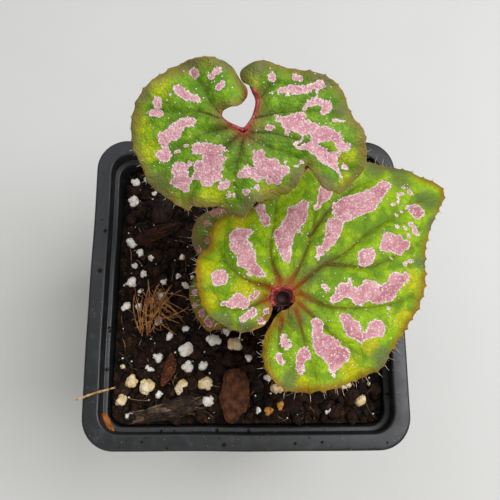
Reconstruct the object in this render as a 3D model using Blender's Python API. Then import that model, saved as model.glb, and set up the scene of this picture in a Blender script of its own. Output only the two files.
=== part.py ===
"""Potted begonia: four leaves on red stalks, growing from a rhizome in a square nursery pot.

Blender script, metres, +Z up. The origin is the middle of the pot's base, which stands on z = 0.
Sizes are written in millimetres and scaled by MM when a mesh is made. A leaf's outline and veins
are drawn in its own plane: the stalk joins at (0, 0), x runs to the tip and y to the leaf's left.
"""
import math
import random

import bmesh
import bpy
from mathutils import Euler, Matrix, Vector, noise
from mathutils.bvhtree import BVHTree
from mathutils.geometry import delaunay_2d_cdt

MM = 0.001
GAP = 0.3                    # clearance between touching pieces

# Pot: 9 cm square nursery pot
RIM_HALF = 45.0
POT_HEIGHT = 85.0
BASE_HALF = 33.0
WALL = 1.0
RIM_CORNER = 9.0
WALL_CORNER = 5.6
BASE_CORNER = 4.6
COLLAR_HALF = 41.4           # outside of the upright collar under the rim
COLLAR_DROP = 4.5            # from the rim's top down to the inner ledge
SKIRT_DROP = 6.0             # how far the rim turns down outside
WALL_TOP_HALF = 39.9
LEDGE_FALL = 0.2             # the ledge falls this much towards the wall
FOOT_BEVEL = 0.8
RIM_BEVEL = 0.5
SKIRT_BEVEL = 0.3
COLLAR_CORNER = 6.8          # corner radius of the collar's outside and, below, of its inside
COLLAR_IN_CORNER = 5.8
FLOOR = 1.2
CORNER_STEPS = 4
DRAIN_HOLES = [(22.0, 22.0, 4.0), (-22.0, 22.0, 4.0), (-22.0, -22.0, 4.0), (22.0, -22.0, 4.0),
               (24.0, 0.0, 2.8), (-24.0, 0.0, 2.8), (0.0, 24.0, 2.8), (0.0, -24.0, 2.8)]   # x, y, radius
DRAIN_SIDES = 16

# Soil
SOIL_LEVEL = 77.0
SOIL_FALL = 0.04             # the level falls from the front to the rear by this much a millimetre
SOIL_STEP = 3.1              # spacing of the surface's points
SOIL_JITTER = 0.7            # how far those points stray
SOIL_EDGE_CLEARANCE = 1.4
SOIL_CALM = 6.0              # the relief is level this near to the rhizome, and whole this much further out
SOIL_FADE = 5.0
SOIL_RELIEF = [(0.09, 3.0, 1.3), (0.31, 8.0, 0.8)]   # noise: scale a millimetre, layer and height
LISTED_GRAINS = [            # perlite that shows from above: x, y, radius
    (-35.0, 28.0, 1.9), (-34.6, 34.2, 1.5), (-31.4, 35.6, 1.2), (-28.6, 30.8, 0.9), (-35.2, 14.8, 1.7),
    (-32.2, 11.6, 1.4), (-28.8, 10.2, 1.4), (-33.8, 7.4, 1.1), (-31.0, 4.8, 1.1), (-34.4, 2.4, 1.7),
    (-31.6, -0.6, 1.2), (-20.4, 4.4, 1.0), (-16.4, 4.0, 0.9), (-18.2, 1.2, 1.2), (-24.8, 2.6, 1.2),
    (-35.4, -5.0, 1.5), (-31.8, -5.2, 1.1), (-22.4, -13.8, 1.2), (-17.2, -17.6, 2.2), (-25.6, -20.0, 1.5),
    (-27.8, -23.2, 1.2), (-16.8, -22.8, 1.9), (-12.6, -22.2, 1.7), (-33.0, -26.8, 2.0), (-28.4, -28.0, 2.4),
    (-25.0, -30.2, 1.2), (-18.4, -28.0, 2.3), (-11.8, -27.2, 2.3), (-35.4, -31.6, 2.0), (-9.6, -15.0, 2.2),
    (-3.0, -16.2, 2.3), (0.8, -20.0, 1.2), (6.4, -25.4, 1.4), (8.4, -28.6, 1.9), (2.6, -30.8, 0.9),
    (9.6, -33.2, 1.3), (6.2, -35.0, 1.3), (3.4, -34.6, 1.1), (-11.0, -32.0, 1.9), (1.4, -11.6, 1.2),
    (24.6, -28.6, 1.7), (28.4, -27.4, 1.7), (32.2, -32.2, 1.9), (23.2, -34.8, 1.2)]
SCATTERED_GRAINS = 34
SCATTER_REACH = 35.5
SCATTER_TRIES = 4000
GRAIN_SIZES = (0.9, 1.7)
GRAIN_SPACING = 1.1
GRAIN_CROWN = 0.85           # height of a grain's top and of the rings round it, in its radius
LARGE_GRAIN = 1.3
LARGE_RINGS = [(0.62, 0.66), (1.0, 0.0)]
SMALL_RINGS = [(0.8, 0.35)]
RING_POINTS = 6
BARK_OVERHANG = 0.8          # share of a grain's radius by which bark may reach over it
GRAIN_SEED = 7

# Rhizome and stalks
RHIZOME_PATH = [(1.5, -4.0, 80.0), (0.2, 2.0, 80.9), (-1.0, 9.0, 80.6), (-1.6, 16.0, 80.4), (-1.2, 23.5, 79.3)]
RHIZOME_RADII = [2.4, 3.6, 3.5, 3.6, 2.6]
ROOT_PLACES = [(0.0, 2.5), (-1.6, 17.0)]
RHIZOME_SIDES = 10
ROOT_RADIUS = 2.0
ROOT_TIP_RADIUS = 0.9
ROOT_BOTTOM = 66.0
ROOT_SHOULDER = 72.0
ROOT_TOP = 78.0
ROOT_HOLE_CLEARANCE = 0.5
STALK_SIDES = 8
STALK_STEPS = 12
COLLAR_LENGTH = 3.0          # stub on the rhizome that a stalk stands on
STUB_FLARE = (1.25, 1.05)    # its radii in the stalk's
FEEL_RADIUS = 2.2            # a stalk ends below the blade's lowest place within this radius
OPEN_BLADE = 9.0             # distance to the margin at which its waves no longer count

# Leaves
BLADE = 0.7                  # thickness of a blade
BLADE_STEP = 2.5
MARGIN_STEP = 1.7
TOOTH = 0.3
SMOOTH_SINUS = 9.0           # the margin has no teeth this near to the stalk
VEIN_DEPTH = 0.75
VEIN_WIDTH = 1.7
MARGIN_WIDTH = 3.0
SLOPE_REACH = 0.2            # distance over which a blade's slope is measured
POINT_CLEARANCE = 0.8        # least distance between points along the veins
YOUNG_STEP = 0.8             # a young blade's points lie this much closer

OUTLINE_A = [
    (0.4, 0.0), (-2.0, 1.3), (-4.9, 2.7), (-7.6, 2.4), (-9.3, 1.2), (-11.6, 0.2), (-13.3, 0.9),
    (-14.2, 5.0), (-13.4, 11.0), (-12.0, 17.0), (-9.2, 21.3), (-4.2, 23.4), (-1.0, 25.8), (3.2, 26.7),
    (7.0, 26.9), (10.4, 24.2), (12.6, 21.4), (11.6, 17.6), (9.4, 15.8), (6.8, 13.9), (9.2, 12.8),
    (12.2, 10.8), (14.6, 5.2), (15.2, 2.6), (18.0, 0.6), (17.4, -2.0), (16.2, -5.2), (16.0, -10.0),
    (16.6, -13.2), (14.2, -17.2), (11.6, -20.4), (6.8, -22.4), (3.0, -24.2), (-2.6, -24.5),
    (-7.6, -22.2), (-12.4, -17.3), (-14.8, -12.4), (-15.1, -7.0), (-13.4, -2.6), (-11.2, -1.0),
    (-8.9, 0.1), (-6.4, -0.4), (-5.2, -2.4), (-4.2, -4.5), (-2.4, -4.4), (-0.9, -2.4)]
VEINS_A = [
    [(1.0, 0.0), (5.9, -1.1), (8.8, -2.0), (14.0, -1.6)],
    [(0.8, 0.8), (2.6, 3.6), (4.2, 8.4), (5.4, 12.0)],
    [(0.2, 1.4), (0.4, 6.5), (2.0, 13.0), (4.6, 20.0), (7.5, 23.0)],
    [(-2.8, 2.6), (-4.2, 8.2), (-4.6, 15.0), (-4.4, 20.5)],
    [(-7.4, 3.6), (-10.2, 6.0), (-10.8, 12.0)],
    [(0.8, -0.8), (5.0, -6.4), (10.4, -11.6), (13.0, -14.0)],
    [(-0.6, -3.6), (0.5, -8.1), (2.2, -11.0), (6.0, -17.0)],
    [(-2.6, -5.4), (-4.0, -9.6), (-3.7, -13.6), (-4.2, -20.0)],
    [(-3.9, -5.4), (-6.6, -7.6), (-9.6, -9.0), (-11.6, -11.6)]]

OUTLINE_B = [
    (1.2, 2.5), (-1.0, 2.6), (-2.7, 1.4), (-3.6, -0.6), (-5.8, -2.5), (-8.6, -3.3), (-12.6, -2.0),
    (-16.1, 2.3), (-17.6, 7.0), (-16.6, 12.0), (-14.0, 17.6), (-11.0, 20.3), (-8.2, 20.6), (-7.0, 23.0),
    (-4.0, 25.0), (0.0, 25.2), (4.2, 23.6), (11.0, 24.4), (19.0, 26.5), (27.0, 26.6), (34.5, 24.4),
    (40.6, 20.4), (45.6, 16.4), (49.6, 13.2), (51.6, 9.2), (54.2, 4.6), (52.6, 1.2), (48.6, -0.8),
    (43.0, -4.3), (39.4, -8.0), (34.0, -14.4), (28.8, -18.4), (21.6, -22.3), (15.4, -24.4), (11.4, -26.0),
    (3.4, -25.1), (-3.8, -23.0), (-8.2, -20.7), (-10.9, -18.2), (-12.4, -14.6), (-11.9, -10.2),
    (-9.2, -6.0), (-6.0, -3.9), (-3.4, -2.7), (-0.6, -2.9), (1.7, -2.1), (2.7, 0.4)]
VEINS_B = [
    [(3.8, 0.6), (12.6, 1.9), (19.6, 1.8), (27.5, 3.3), (36.0, 3.6), (47.0, 4.4)],
    [(13.5, 1.9), (18.5, -1.5), (23.0, -4.4), (30.1, -5.1), (39.0, -5.6)],
    [(3.4, 2.2), (9.1, 5.6), (15.0, 10.3), (18.6, 14.0), (24.0, 19.5)],
    [(14.0, 9.8), (22.0, 13.2), (32.0, 15.4), (39.0, 15.0)],
    [(1.4, 3.8), (2.2, 8.5), (4.3, 12.7), (7.5, 16.4), (11.0, 21.0)],
    [(-1.6, 3.8), (-4.7, 7.4), (-6.3, 10.3), (-7.4, 14.9), (-7.0, 19.0)],
    [(-3.8, 1.8), (-7.9, 2.2), (-11.9, 3.6), (-14.6, 7.0)],
    [(4.0, -1.2), (7.9, -7.0), (14.6, -11.4), (23.2, -14.9), (29.6, -15.6)],
    [(2.4, -3.6), (4.4, -9.6), (6.4, -16.0), (9.6, -22.0)],
    [(0.6, -4.4), (-0.6, -9.0), (-2.0, -14.0), (-3.2, -19.6)],
    [(-3.4, -4.4), (-6.6, -8.4), (-8.6, -13.6)]]

OUTLINE_C = [
    (0.3, 0.0), (-3.0, 1.5), (-5.7, 2.9), (-6.0, 5.9), (-3.3, 8.7), (1.2, 9.5), (5.0, 8.2), (8.8, 6.2),
    (11.2, 3.2), (12.1, -0.6), (11.7, -3.8), (9.8, -6.4), (5.6, -8.6), (1.2, -9.5), (-3.3, -8.7), (-6.0, -5.9),
    (-5.7, -2.9), (-3.0, -1.5)]

# A leaf: place of the stalk's joint, Euler turn (roll, pitch, heading) in degrees, how far the tip,
# the lobes and the sides hang, and waves along the margin. A fold is (x, y, reach, height). The
# stalk's foot and lean are in the part's frame, and its radii are at the foot, the middle and the top.
# A young leaf gives its length, half width and lobe for what it has no points of its own for.
LEAVES = {
    "a": dict(
        place=(-1.0, 25.3, 133.0), turn=(0.0, 17.0, -91.0), outline=OUTLINE_A, veins=VEINS_A,
        reach=(26.0, 16.0, 26.0), hang=(9.0, 0.5, 3.0), wave=1.2, waves=9, phase=0.4,
        folds=[(11.5, 18.6, 4.5, 1.6), (11.0, 11.4, 4.0, -1.4), (-12.4, 2.6, 3.5, 0.9)],
        foot=(-1.4, 22.6, 84.0), foot_lean=(0.05, 0.42, 1.0), stalk=(1.9, 1.4, 1.6), stalk_shift=1.0,
        point_step=1.0),
    "b": dict(
        place=(8.6, -7.1, 111.0), turn=(0.0, 4.0, 31.0), outline=OUTLINE_B, veins=VEINS_B,
        reach=(50.0, 16.0, 26.0), hang=(6.0, 0.5, 3.5), wave=1.2, waves=11, phase=1.2,
        folds=[(-0.6, -5.4, 3.2, 1.6), (-13.0, 18.0, 5.0, -1.0)],
        foot=(2.4, -0.4, 85.0), foot_lean=(0.25, -0.1, 1.0), stalk=(2.0, 1.5, 2.0), stalk_shift=0.0,
        point_step=1.0),
    "c": dict(
        place=(-3.4, 12.4, 96.5), turn=(4.0, 8.0, 186.0), outline=OUTLINE_C, veins=None,
        reach=(14.0, 8.0, 10.0), hang=(2.0, 0.5, 1.6), wave=0.6, waves=7, phase=0.0,
        folds=[], foot=(-3.6, 11.4, 84.8), foot_lean=(-0.3, 0.1, 1.0), stalk=(1.5, 1.1, 1.2),
        stalk_shift=0.8, young=(12.0, 9.5, 6.0), point_step=YOUNG_STEP),
    "d": dict(
        place=(-7.0, -3.6, 90.5), turn=(-6.0, 14.0, 246.0), outline=None, veins=None,
        reach=(12.0, 6.0, 8.0), hang=(1.4, 0.4, 1.8), wave=0.5, waves=5, phase=0.8,
        folds=[], foot=(-2.8, 1.4, 84.4), foot_lean=(-0.7, -0.3, 1.0), stalk=(1.2, 0.95, 1.1),
        stalk_shift=0.8, young=(10.5, 9.0, 4.5), point_step=YOUNG_STEP),
}
STALK_TOP_B = 0.15           # leaf B's stalk comes up through its sinus to just over the joint

# Loose pieces on the soil: centre x, y, turn in degrees, thickness, colour and outline
CHIPS = {
    "bark_slab": dict(
        place=(-3.4, -30.0), turn=-3.0, thickness=2.6, colour="bark_brown",
        outline=[(-3.0, 6.0), (0.6, 7.0), (3.4, 5.0), (4.3, 0.4), (3.8, -4.0), (2.0, -6.0), (0.8, -8.0),
                 (-1.8, -7.8), (-3.2, -4.8), (-4.4, -1.4), (-3.6, 2.4)]),
    "bark_splinter": dict(
        place=(-22.4, -34.6), turn=10.0, thickness=2.0, colour="bark_dark",
        outline=[(-10.4, 0.2), (-6.4, 1.2), (-1.8, 1.6), (3.6, 3.2), (8.2, 2.6), (9.4, 0.2), (6.6, -1.8),
                 (1.6, -2.7), (-4.0, -2.3), (-8.2, -1.8), (-7.2, -0.7)]),
    "bark_flake": dict(
        place=(-22.2, -23.4), turn=-14.0, thickness=1.5, colour="bark_red",
        outline=[(-0.8, 4.8), (1.4, 3.0), (1.9, 0.2), (0.9, -2.8), (-0.9, -5.0), (-1.9, -1.6), (-1.7, 2.0)]),
    "bark_strip": dict(
        place=(-27.0, 17.6), turn=24.0, thickness=2.2, colour="bark_red",
        outline=[(-7.6, 1.4), (-2.0, 2.4), (4.4, 1.9), (7.8, 0.2), (5.4, -1.7), (-1.0, -2.1), (-6.4, -1.5)]),
    "bark_lump": dict(
        place=(-25.4, 25.0), turn=70.0, thickness=3.2, colour="bark_dark",
        outline=[(-4.6, 1.8), (-0.6, 3.4), (4.2, 2.4), (5.2, -0.8), (1.8, -3.0), (-3.4, -2.6)]),
}

# Levels of a bark piece: share of the outline and share of the thickness
CHIP_LEVELS = [(0.86, 0.0), (1.0, 0.35), (0.97, 0.7), (0.62, 1.0)]
CHIP_ROUGHNESS = 0.16        # unevenness of the top in the thickness
CHIP_CROWN = 0.95

# Coir tuft: fibres leave a small core as (azimuth, steepness) in degrees and length
COIR_CORE = (-27.2, -8.8)
COIR_CORE_RADIUS = 1.9
COIR_CORE_SQUASH = 0.6
COIR_THICKNESS = 0.35
COIR_STEPS = 5
COIR_SIDES = 5
COIR_BOW = 0.12              # sideways bend and droop of a fibre in its length
COIR_DROOP = 0.16
COIR_FIBRES = [(96, 34, 13.0), (76, 40, 12.5), (112, 46, 12.0), (60, 28, 12.0), (44, 22, 12.5), (18, 16, 11.5),
               (2, 24, 10.0), (134, 30, 9.0), (84, 62, 11.0), (-34, 14, 8.5), (208, 20, 6.0)]

REST_STEP = 0.5              # spacing of the points that feel for the soil under a piece

# Straw across the left side of the rim
STRAW_PATH = [(-44.8, -30.8, 85.66), (-41.8, -29.7, 85.66), (-37.6, -28.6, 86.1)]
STRAW_RADIUS = 0.35
STRAW_SIDES = 6

COLOURS = {
    "pot_black": ("1E2123", 0.38), "soil_dark": ("1B120C", 0.95), "leaf_green": ("6FA022", 0.45),
    "stalk_red": ("7A2A1C", 0.5), "rhizome_brown": ("6B4A2C", 0.7), "bark_brown": ("5A3722", 0.85),
    "bark_dark": ("33221A", 0.85), "bark_red": ("52301F", 0.85), "coir": ("8A5A2C", 0.8),
    "straw": ("B58A52", 0.7)}


# Small tools

def clear_scene():
    for obj in list(bpy.data.objects):
        bpy.data.objects.remove(obj)


def linear(channel):
    return channel / 12.92 if channel <= 0.04045 else ((channel + 0.055) / 1.055) ** 2.4


def material(name):
    """Principled material with the named colour and roughness."""
    found = bpy.data.materials.get(name)
    if found:
        return found
    code, roughness = COLOURS[name]
    rgb = [linear(int(code[i:i + 2], 16) / 255) for i in (0, 2, 4)]
    made = bpy.data.materials.new(name)
    made.use_nodes = True
    shader = made.node_tree.nodes["Principled BSDF"]
    shader.inputs["Base Color"].default_value = (*rgb, 1.0)
    shader.inputs["Roughness"].default_value = roughness
    shader.inputs["Metallic"].default_value = 0.0
    return made


def add_object(name, mesh_data, colour, smooth_angle=None):
    """Object for a bmesh in millimetres, with its faces turned out."""
    bmesh.ops.recalc_face_normals(mesh_data, faces=mesh_data.faces)
    bmesh.ops.scale(mesh_data, vec=(MM, MM, MM), verts=mesh_data.verts)
    mesh = bpy.data.meshes.new(name)
    mesh_data.to_mesh(mesh)
    mesh_data.free()
    mesh.materials.append(material(colour))
    if smooth_angle is not None:
        mesh.shade_smooth()
        mesh.set_sharp_from_angle(angle=math.radians(smooth_angle))
    obj = bpy.data.objects.new(name, mesh)
    bpy.context.scene.collection.objects.link(obj)
    return obj


def cut_away(obj, cutter):
    cutter.hide_render = True
    cutter.display_type = "WIRE"
    cut = obj.modifiers.new("cut", "BOOLEAN")
    cut.operation = "DIFFERENCE"
    cut.object = cutter


def fuse(name, pieces):
    """One body from overlapping pieces; the first piece keeps the name."""
    group = bpy.data.collections.new(name + "_pieces")
    for piece in pieces[1:]:
        group.objects.link(piece)
    join = pieces[0].modifiers.new("join", "BOOLEAN")
    join.operation = "UNION"
    join.operand_type = "COLLECTION"
    join.collection = group
    graph = bpy.context.evaluated_depsgraph_get()
    joined = bpy.data.meshes.new_from_object(pieces[0].evaluated_get(graph))
    pieces[0].modifiers.clear()
    pieces[0].data = joined
    for piece in pieces[1:]:
        bpy.data.objects.remove(piece)
    bpy.data.collections.remove(group)
    pieces[0].name = name
    return pieces[0]


def tube(path, radii, sides, squash=1.0):
    """Closed tube through the path's points, with a ring of its own radius at each."""
    made = bmesh.new()
    rings = []
    points = [Vector(p) for p in path]
    side = Vector((1.0, 0.0, 0.0))
    for i, point in enumerate(points):
        ahead = (points[min(i + 1, len(points) - 1)] - points[max(i - 1, 0)]).normalized()
        side = (side - ahead * side.dot(ahead)).normalized()
        up = ahead.cross(side)
        ring = []
        for k in range(sides):
            angle = 2 * math.pi * k / sides
            offset = side * math.cos(angle) + up * math.sin(angle) * squash
            ring.append(made.verts.new(point + offset * radii[i]))
        rings.append(ring)
    for low, high in zip(rings, rings[1:]):
        for k in range(sides):
            made.faces.new((low[k], low[(k + 1) % sides], high[(k + 1) % sides], high[k]))
    made.faces.new(rings[0])
    made.faces.new(rings[-1])
    return made


def bezier(p0, p1, p2, p3, steps):
    """Points along a cubic curve."""
    points = []
    for i in range(steps + 1):
        t = i / steps
        s = 1 - t
        points.append(p0 * s ** 3 + p1 * 3 * s * s * t + p2 * 3 * s * t * t + p3 * t ** 3)
    return points


def smooth_closed(points, step):
    """Closed smooth curve through the points, sampled at even steps."""
    fine = []
    count = len(points)
    for i in range(count):
        before, start, end, after = (Vector(points[(i + k - 1) % count]) for k in range(4))
        for j in range(8):
            t = j / 8
            fine.append(0.5 * (2 * start + (end - before) * t
                               + (2 * before - 5 * start + 4 * end - after) * t * t
                               + (3 * start - before - 3 * end + after) * t ** 3))
    return even_steps(fine, step)


def even_steps(loop, step):
    """The closed loop sampled at even distances close to step."""
    lengths = [(loop[(i + 1) % len(loop)] - p).length for i, p in enumerate(loop)]
    total = sum(lengths)
    count = 2 * round(total / step / 2)
    samples = []
    i = 0
    passed = 0.0
    for k in range(count):
        target = total * k / count
        while passed + lengths[i] < target:
            passed += lengths[i]
            i += 1
        samples.append(loop[i].lerp(loop[(i + 1) % len(loop)], (target - passed) / lengths[i]))
    return samples


def line_distance(point, line, closed=False):
    """Shortest distance from a point to a line of straight pieces."""
    best = 1e9
    for i in range(len(line) if closed else len(line) - 1):
        start = line[i]
        along = line[(i + 1) % len(line)] - start
        t = max(0.0, min(1.0, (point - start).dot(along) / max(along.length_squared, 1e-12)))
        best = min(best, (point - start - along * t).length)
    return best


def inside(point, loop):
    found = False
    for i, a in enumerate(loop):
        b = loop[i - 1]
        if (a.y > point.y) != (b.y > point.y):
            if point.x < (b.x - a.x) * (point.y - a.y) / (b.y - a.y) + a.x:
                found = not found
    return found


def triangulate(loop, inner):
    """Triangles that fill the closed loop, with corners at the inner points too."""
    corners = loop + inner
    edges = [(i, (i + 1) % len(loop)) for i in range(len(loop))]
    points, _, faces, _, _, _ = delaunay_2d_cdt(corners, edges, [], 1, 1e-5)
    return points, faces


def rim_edges(faces):
    """Edges used by one face only, in that face's direction."""
    used = set()
    for face in faces:
        for i, a in enumerate(face):
            used.add((a, face[(i + 1) % len(face)]))
    return [(a, b) for a, b in sorted(used) if (b, a) not in used]


# Pot

def rounded_square(half, corner, z=0.0, steps=CORNER_STEPS):
    """Square outline with round corners, counter-clockwise."""
    points = []
    for quarter in range(4):
        turn = quarter * math.pi / 2
        for i in range(steps + 1):
            angle = turn + i * math.pi / 2 / steps
            middle = Vector(((half - corner) * (1 if quarter in (0, 3) else -1),
                             (half - corner) * (1 if quarter in (0, 1) else -1), z))
            points.append(middle + Vector((math.cos(angle), math.sin(angle), 0.0)) * corner)
    return points


def wall_inside(z):
    """Half width and corner radius of the pot's inner wall at a height."""
    ledge = POT_HEIGHT - COLLAR_DROP - LEDGE_FALL
    t = (z - FLOOR) / (ledge - FLOOR)
    half = (BASE_HALF - WALL) + t * (WALL_TOP_HALF - BASE_HALF)
    corner = (BASE_CORNER - WALL) + t * (WALL_CORNER - BASE_CORNER)
    return half, corner


def build_pot():
    """Thin-walled pot: foot, sloping walls, upright collar, turned-down rim and inner ledge."""
    top = POT_HEIGHT
    under_rim = top - WALL
    skirt = top - SKIRT_DROP
    ledge = top - COLLAR_DROP
    collar_in = COLLAR_HALF - WALL
    wall_top = ledge - WALL
    profile = [                                    # half width, height, corner radius
        (BASE_HALF - FOOT_BEVEL, 0.0, BASE_CORNER - FOOT_BEVEL),
        (BASE_HALF, FOOT_BEVEL, BASE_CORNER),
        (WALL_TOP_HALF, wall_top, WALL_CORNER),
        (COLLAR_HALF, ledge - LEDGE_FALL, COLLAR_CORNER),
        (COLLAR_HALF, under_rim, COLLAR_CORNER),
        (RIM_HALF - WALL, under_rim, RIM_CORNER - WALL),
        (RIM_HALF - WALL, skirt, RIM_CORNER - WALL),
        (RIM_HALF - SKIRT_BEVEL, skirt, RIM_CORNER - SKIRT_BEVEL),
        (RIM_HALF, skirt + SKIRT_BEVEL, RIM_CORNER),
        (RIM_HALF, top - RIM_BEVEL, RIM_CORNER),
        (RIM_HALF - RIM_BEVEL, top, RIM_CORNER - RIM_BEVEL),
        (collar_in + RIM_BEVEL, top, COLLAR_IN_CORNER + RIM_BEVEL),
        (collar_in, top - RIM_BEVEL, COLLAR_IN_CORNER),
        (collar_in, ledge, COLLAR_IN_CORNER),
        (WALL_TOP_HALF - WALL, ledge - LEDGE_FALL, WALL_CORNER - WALL),
        (BASE_HALF - WALL, FLOOR, BASE_CORNER - WALL)]
    made = bmesh.new()
    loops = [[made.verts.new(p) for p in rounded_square(half, corner, z)] for half, z, corner in profile]
    for low, high in zip(loops, loops[1:]):
        for i in range(len(low)):
            made.faces.new((low[i], low[(i + 1) % len(low)], high[(i + 1) % len(low)], high[i]))
    made.faces.new(loops[0])
    made.faces.new(loops[-1])
    pot = add_object("pot", made, "pot_black", smooth_angle=35)
    cut_away(pot, drain_cutter())
    return pot


def drain_cutter():
    """Upright round cutters through the base, near its corners and the middles of its sides."""
    made = bmesh.new()
    for x, y, radius in DRAIN_HOLES:
        hole = bmesh.ops.create_cone(made, cap_ends=True, segments=DRAIN_SIDES, radius1=radius,
                                     radius2=radius, depth=4 * FLOOR)
        bmesh.ops.translate(made, verts=hole["verts"], vec=(x, y, FLOOR / 2))
    return add_object("drain_cutter", made, "pot_black")


# Soil

def soil_height(x, y):
    """Crumbly lie of the soil, even beside the rhizome and falling to the rear."""
    spine = [Vector(p[:2]) for p in RHIZOME_PATH]
    near = line_distance(Vector((x, y)), spine)
    freedom = min(1.0, max(0.0, (near - SOIL_CALM) / SOIL_FADE))
    relief = sum(rise * noise.noise(Vector((x * scale, y * scale, layer)))
                 for scale, layer, rise in SOIL_RELIEF)
    return SOIL_LEVEL - SOIL_FALL * y + freedom * relief


def placed_outline(piece):
    """A bark piece's outline where it lies."""
    turned = Matrix.Rotation(math.radians(piece["turn"]), 2)
    return [Vector(piece["place"]) + turned @ Vector(point) for point in piece["outline"]]


def under_bark(x, y, radius, outlines):
    """Whether a grain would lie under a bark piece."""
    place = Vector((x, y))
    reach = BARK_OVERHANG * radius
    return any(inside(place, loop) or line_distance(place, loop, closed=True) < reach for loop in outlines)


def all_grains():
    """Listed perlite and a seeded scatter, clear of each other, the rhizome and the bark."""
    pick = random.Random(GRAIN_SEED)
    spine = [Vector(p[:2]) for p in RHIZOME_PATH]
    barks = [placed_outline(chip) for chip in CHIPS.values()]
    grains = [grain for grain in LISTED_GRAINS if not under_bark(*grain, barks)]
    full = len(grains) + SCATTERED_GRAINS
    tries = 0
    while len(grains) < full and tries < SCATTER_TRIES:
        tries += 1
        x = pick.uniform(-SCATTER_REACH, SCATTER_REACH)
        y = pick.uniform(-SCATTER_REACH, SCATTER_REACH)
        radius = pick.uniform(*GRAIN_SIZES)
        clear = all(math.hypot(x - gx, y - gy) > radius + gr + GRAIN_SPACING for gx, gy, gr in grains)
        off_rhizome = line_distance(Vector((x, y)), spine) > SOIL_CALM + 1.0
        if clear and off_rhizome and not under_bark(x, y, radius + 1.0, barks):
            grains.append((x, y, radius))
    return grains


def grain_points(grain):
    """A crown point and one or two rings that raise a grain from the soil, as (x, y, lift)."""
    x, y, radius = grain
    points = [(x, y, GRAIN_CROWN * radius)]
    for share, lift in LARGE_RINGS if radius > LARGE_GRAIN else SMALL_RINGS:
        for k in range(RING_POINTS):
            angle = 2 * math.pi * k / RING_POINTS + x
            out = radius * share
            points.append((x + out * math.cos(angle), y + out * math.sin(angle), lift * radius))
    return points


def build_soil():
    """Soil with perlite in its surface, and that surface for the loose pieces to rest on."""
    half, corner = wall_inside(SOIL_LEVEL - SOIL_FALL * RIM_HALF)
    edge = even_steps([p.xy for p in rounded_square(half - GAP, corner - GAP)], SOIL_STEP)
    grains = all_grains()
    jitter = random.Random(GRAIN_SEED + 1)
    heights = {}
    inner = []
    for grain in grains:
        for x, y, lift in grain_points(grain):
            inner.append(Vector((x, y)))
            heights[(round(x, 3), round(y, 3))] = soil_height(grain[0], grain[1]) + lift
    count = int(half / SOIL_STEP)
    for i in range(-count, count + 1):
        for j in range(-count, count + 1):
            point = Vector(((i + 0.5 * (j % 2)) * SOIL_STEP + jitter.uniform(-SOIL_JITTER, SOIL_JITTER),
                            j * SOIL_STEP + jitter.uniform(-SOIL_JITTER, SOIL_JITTER)))
            clear = all(math.hypot(point.x - x, point.y - y) > r + POINT_CLEARANCE for x, y, r in grains)
            off_edge = line_distance(point, edge, closed=True) > SOIL_EDGE_CLEARANCE
            if clear and inside(point, edge) and off_edge:
                inner.append(point)
    points, faces = triangulate(edge, inner)
    made = bmesh.new()
    top = []
    for point in points:
        lie = heights.get((round(point.x, 3), round(point.y, 3)))
        if lie is None:
            lie = soil_height(point.x, point.y)
        if line_distance(point, edge, closed=True) < 0.01:
            lie = SOIL_LEVEL - SOIL_FALL * point.y
        top.append(made.verts.new((point.x, point.y, lie)))
    for face in faces:
        made.faces.new([top[i] for i in face])
    floor_half = wall_inside(FLOOR + GAP)[0] - GAP
    shrink = floor_half / (half - GAP)
    bottom = {a: made.verts.new((points[a].x * shrink, points[a].y * shrink, FLOOR + GAP))
              for a, _ in rim_edges(faces)}
    for a, b in rim_edges(faces):
        made.faces.new((top[b], top[a], bottom[a], bottom[b]))
    bmesh.ops.contextual_create(made, geom=list(bottom.values()))
    ground = BVHTree.FromBMesh(made)
    soil = add_object("soil", made, "soil_dark")
    cut_away(soil, root_hole_cutter())
    return ground


def root_hole_cutter():
    """Plain round holes in which the rhizome's roots stand."""
    made = bmesh.new()
    radius = ROOT_RADIUS + ROOT_HOLE_CLEARANCE
    bottom = ROOT_BOTTOM - GAP
    depth = SOIL_LEVEL + 5.0 - bottom
    for x, y in ROOT_PLACES:
        hole = bmesh.ops.create_cone(made, cap_ends=True, segments=STALK_SIDES, radius1=radius, radius2=radius,
                                     depth=depth)
        bmesh.ops.translate(made, verts=hole["verts"], vec=(x, y, bottom + depth / 2))
    return add_object("root_hole_cutter", made, "soil_dark")


# Rhizome and stalks

def build_rhizome():
    """Creeping stem with root crowns below and a stub under each stalk."""
    spine = []
    radii = []
    for i in range(len(RHIZOME_PATH) - 1):
        start, end = Vector(RHIZOME_PATH[i]), Vector(RHIZOME_PATH[i + 1])
        for k in range(4):
            t = k / 4
            swell = 1.0 + 0.06 * math.cos(math.pi * k)
            spine.append(start.lerp(end, t))
            radii.append((RHIZOME_RADII[i] * (1 - t) + RHIZOME_RADII[i + 1] * t) * swell)
    spine.append(Vector(RHIZOME_PATH[-1]))
    radii.append(RHIZOME_RADII[-1])
    pieces = [add_object("rhizome", tube(spine, radii, RHIZOME_SIDES), "rhizome_brown", 50)]
    for i, (x, y) in enumerate(ROOT_PLACES):
        path = [(x, y, z) for z in (ROOT_BOTTOM, ROOT_SHOULDER, ROOT_TOP)]
        root = tube(path, [ROOT_TIP_RADIUS, ROOT_RADIUS, ROOT_RADIUS], STALK_SIDES)
        pieces.append(add_object("root_%d" % i, root, "rhizome_brown", 50))
    for key, leaf in LEAVES.items():
        foot = Vector(leaf["foot"])
        lean = Vector(leaf["foot_lean"]).normalized()
        reach = leaf["stalk"][0]
        ends = [foot - lean * (COLLAR_LENGTH + GAP), foot - lean * GAP]
        stub = tube(ends, [reach * flare for flare in STUB_FLARE], STALK_SIDES)
        pieces.append(add_object("stub_" + key, stub, "rhizome_brown", 50))
    return fuse("rhizome", pieces)


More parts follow.
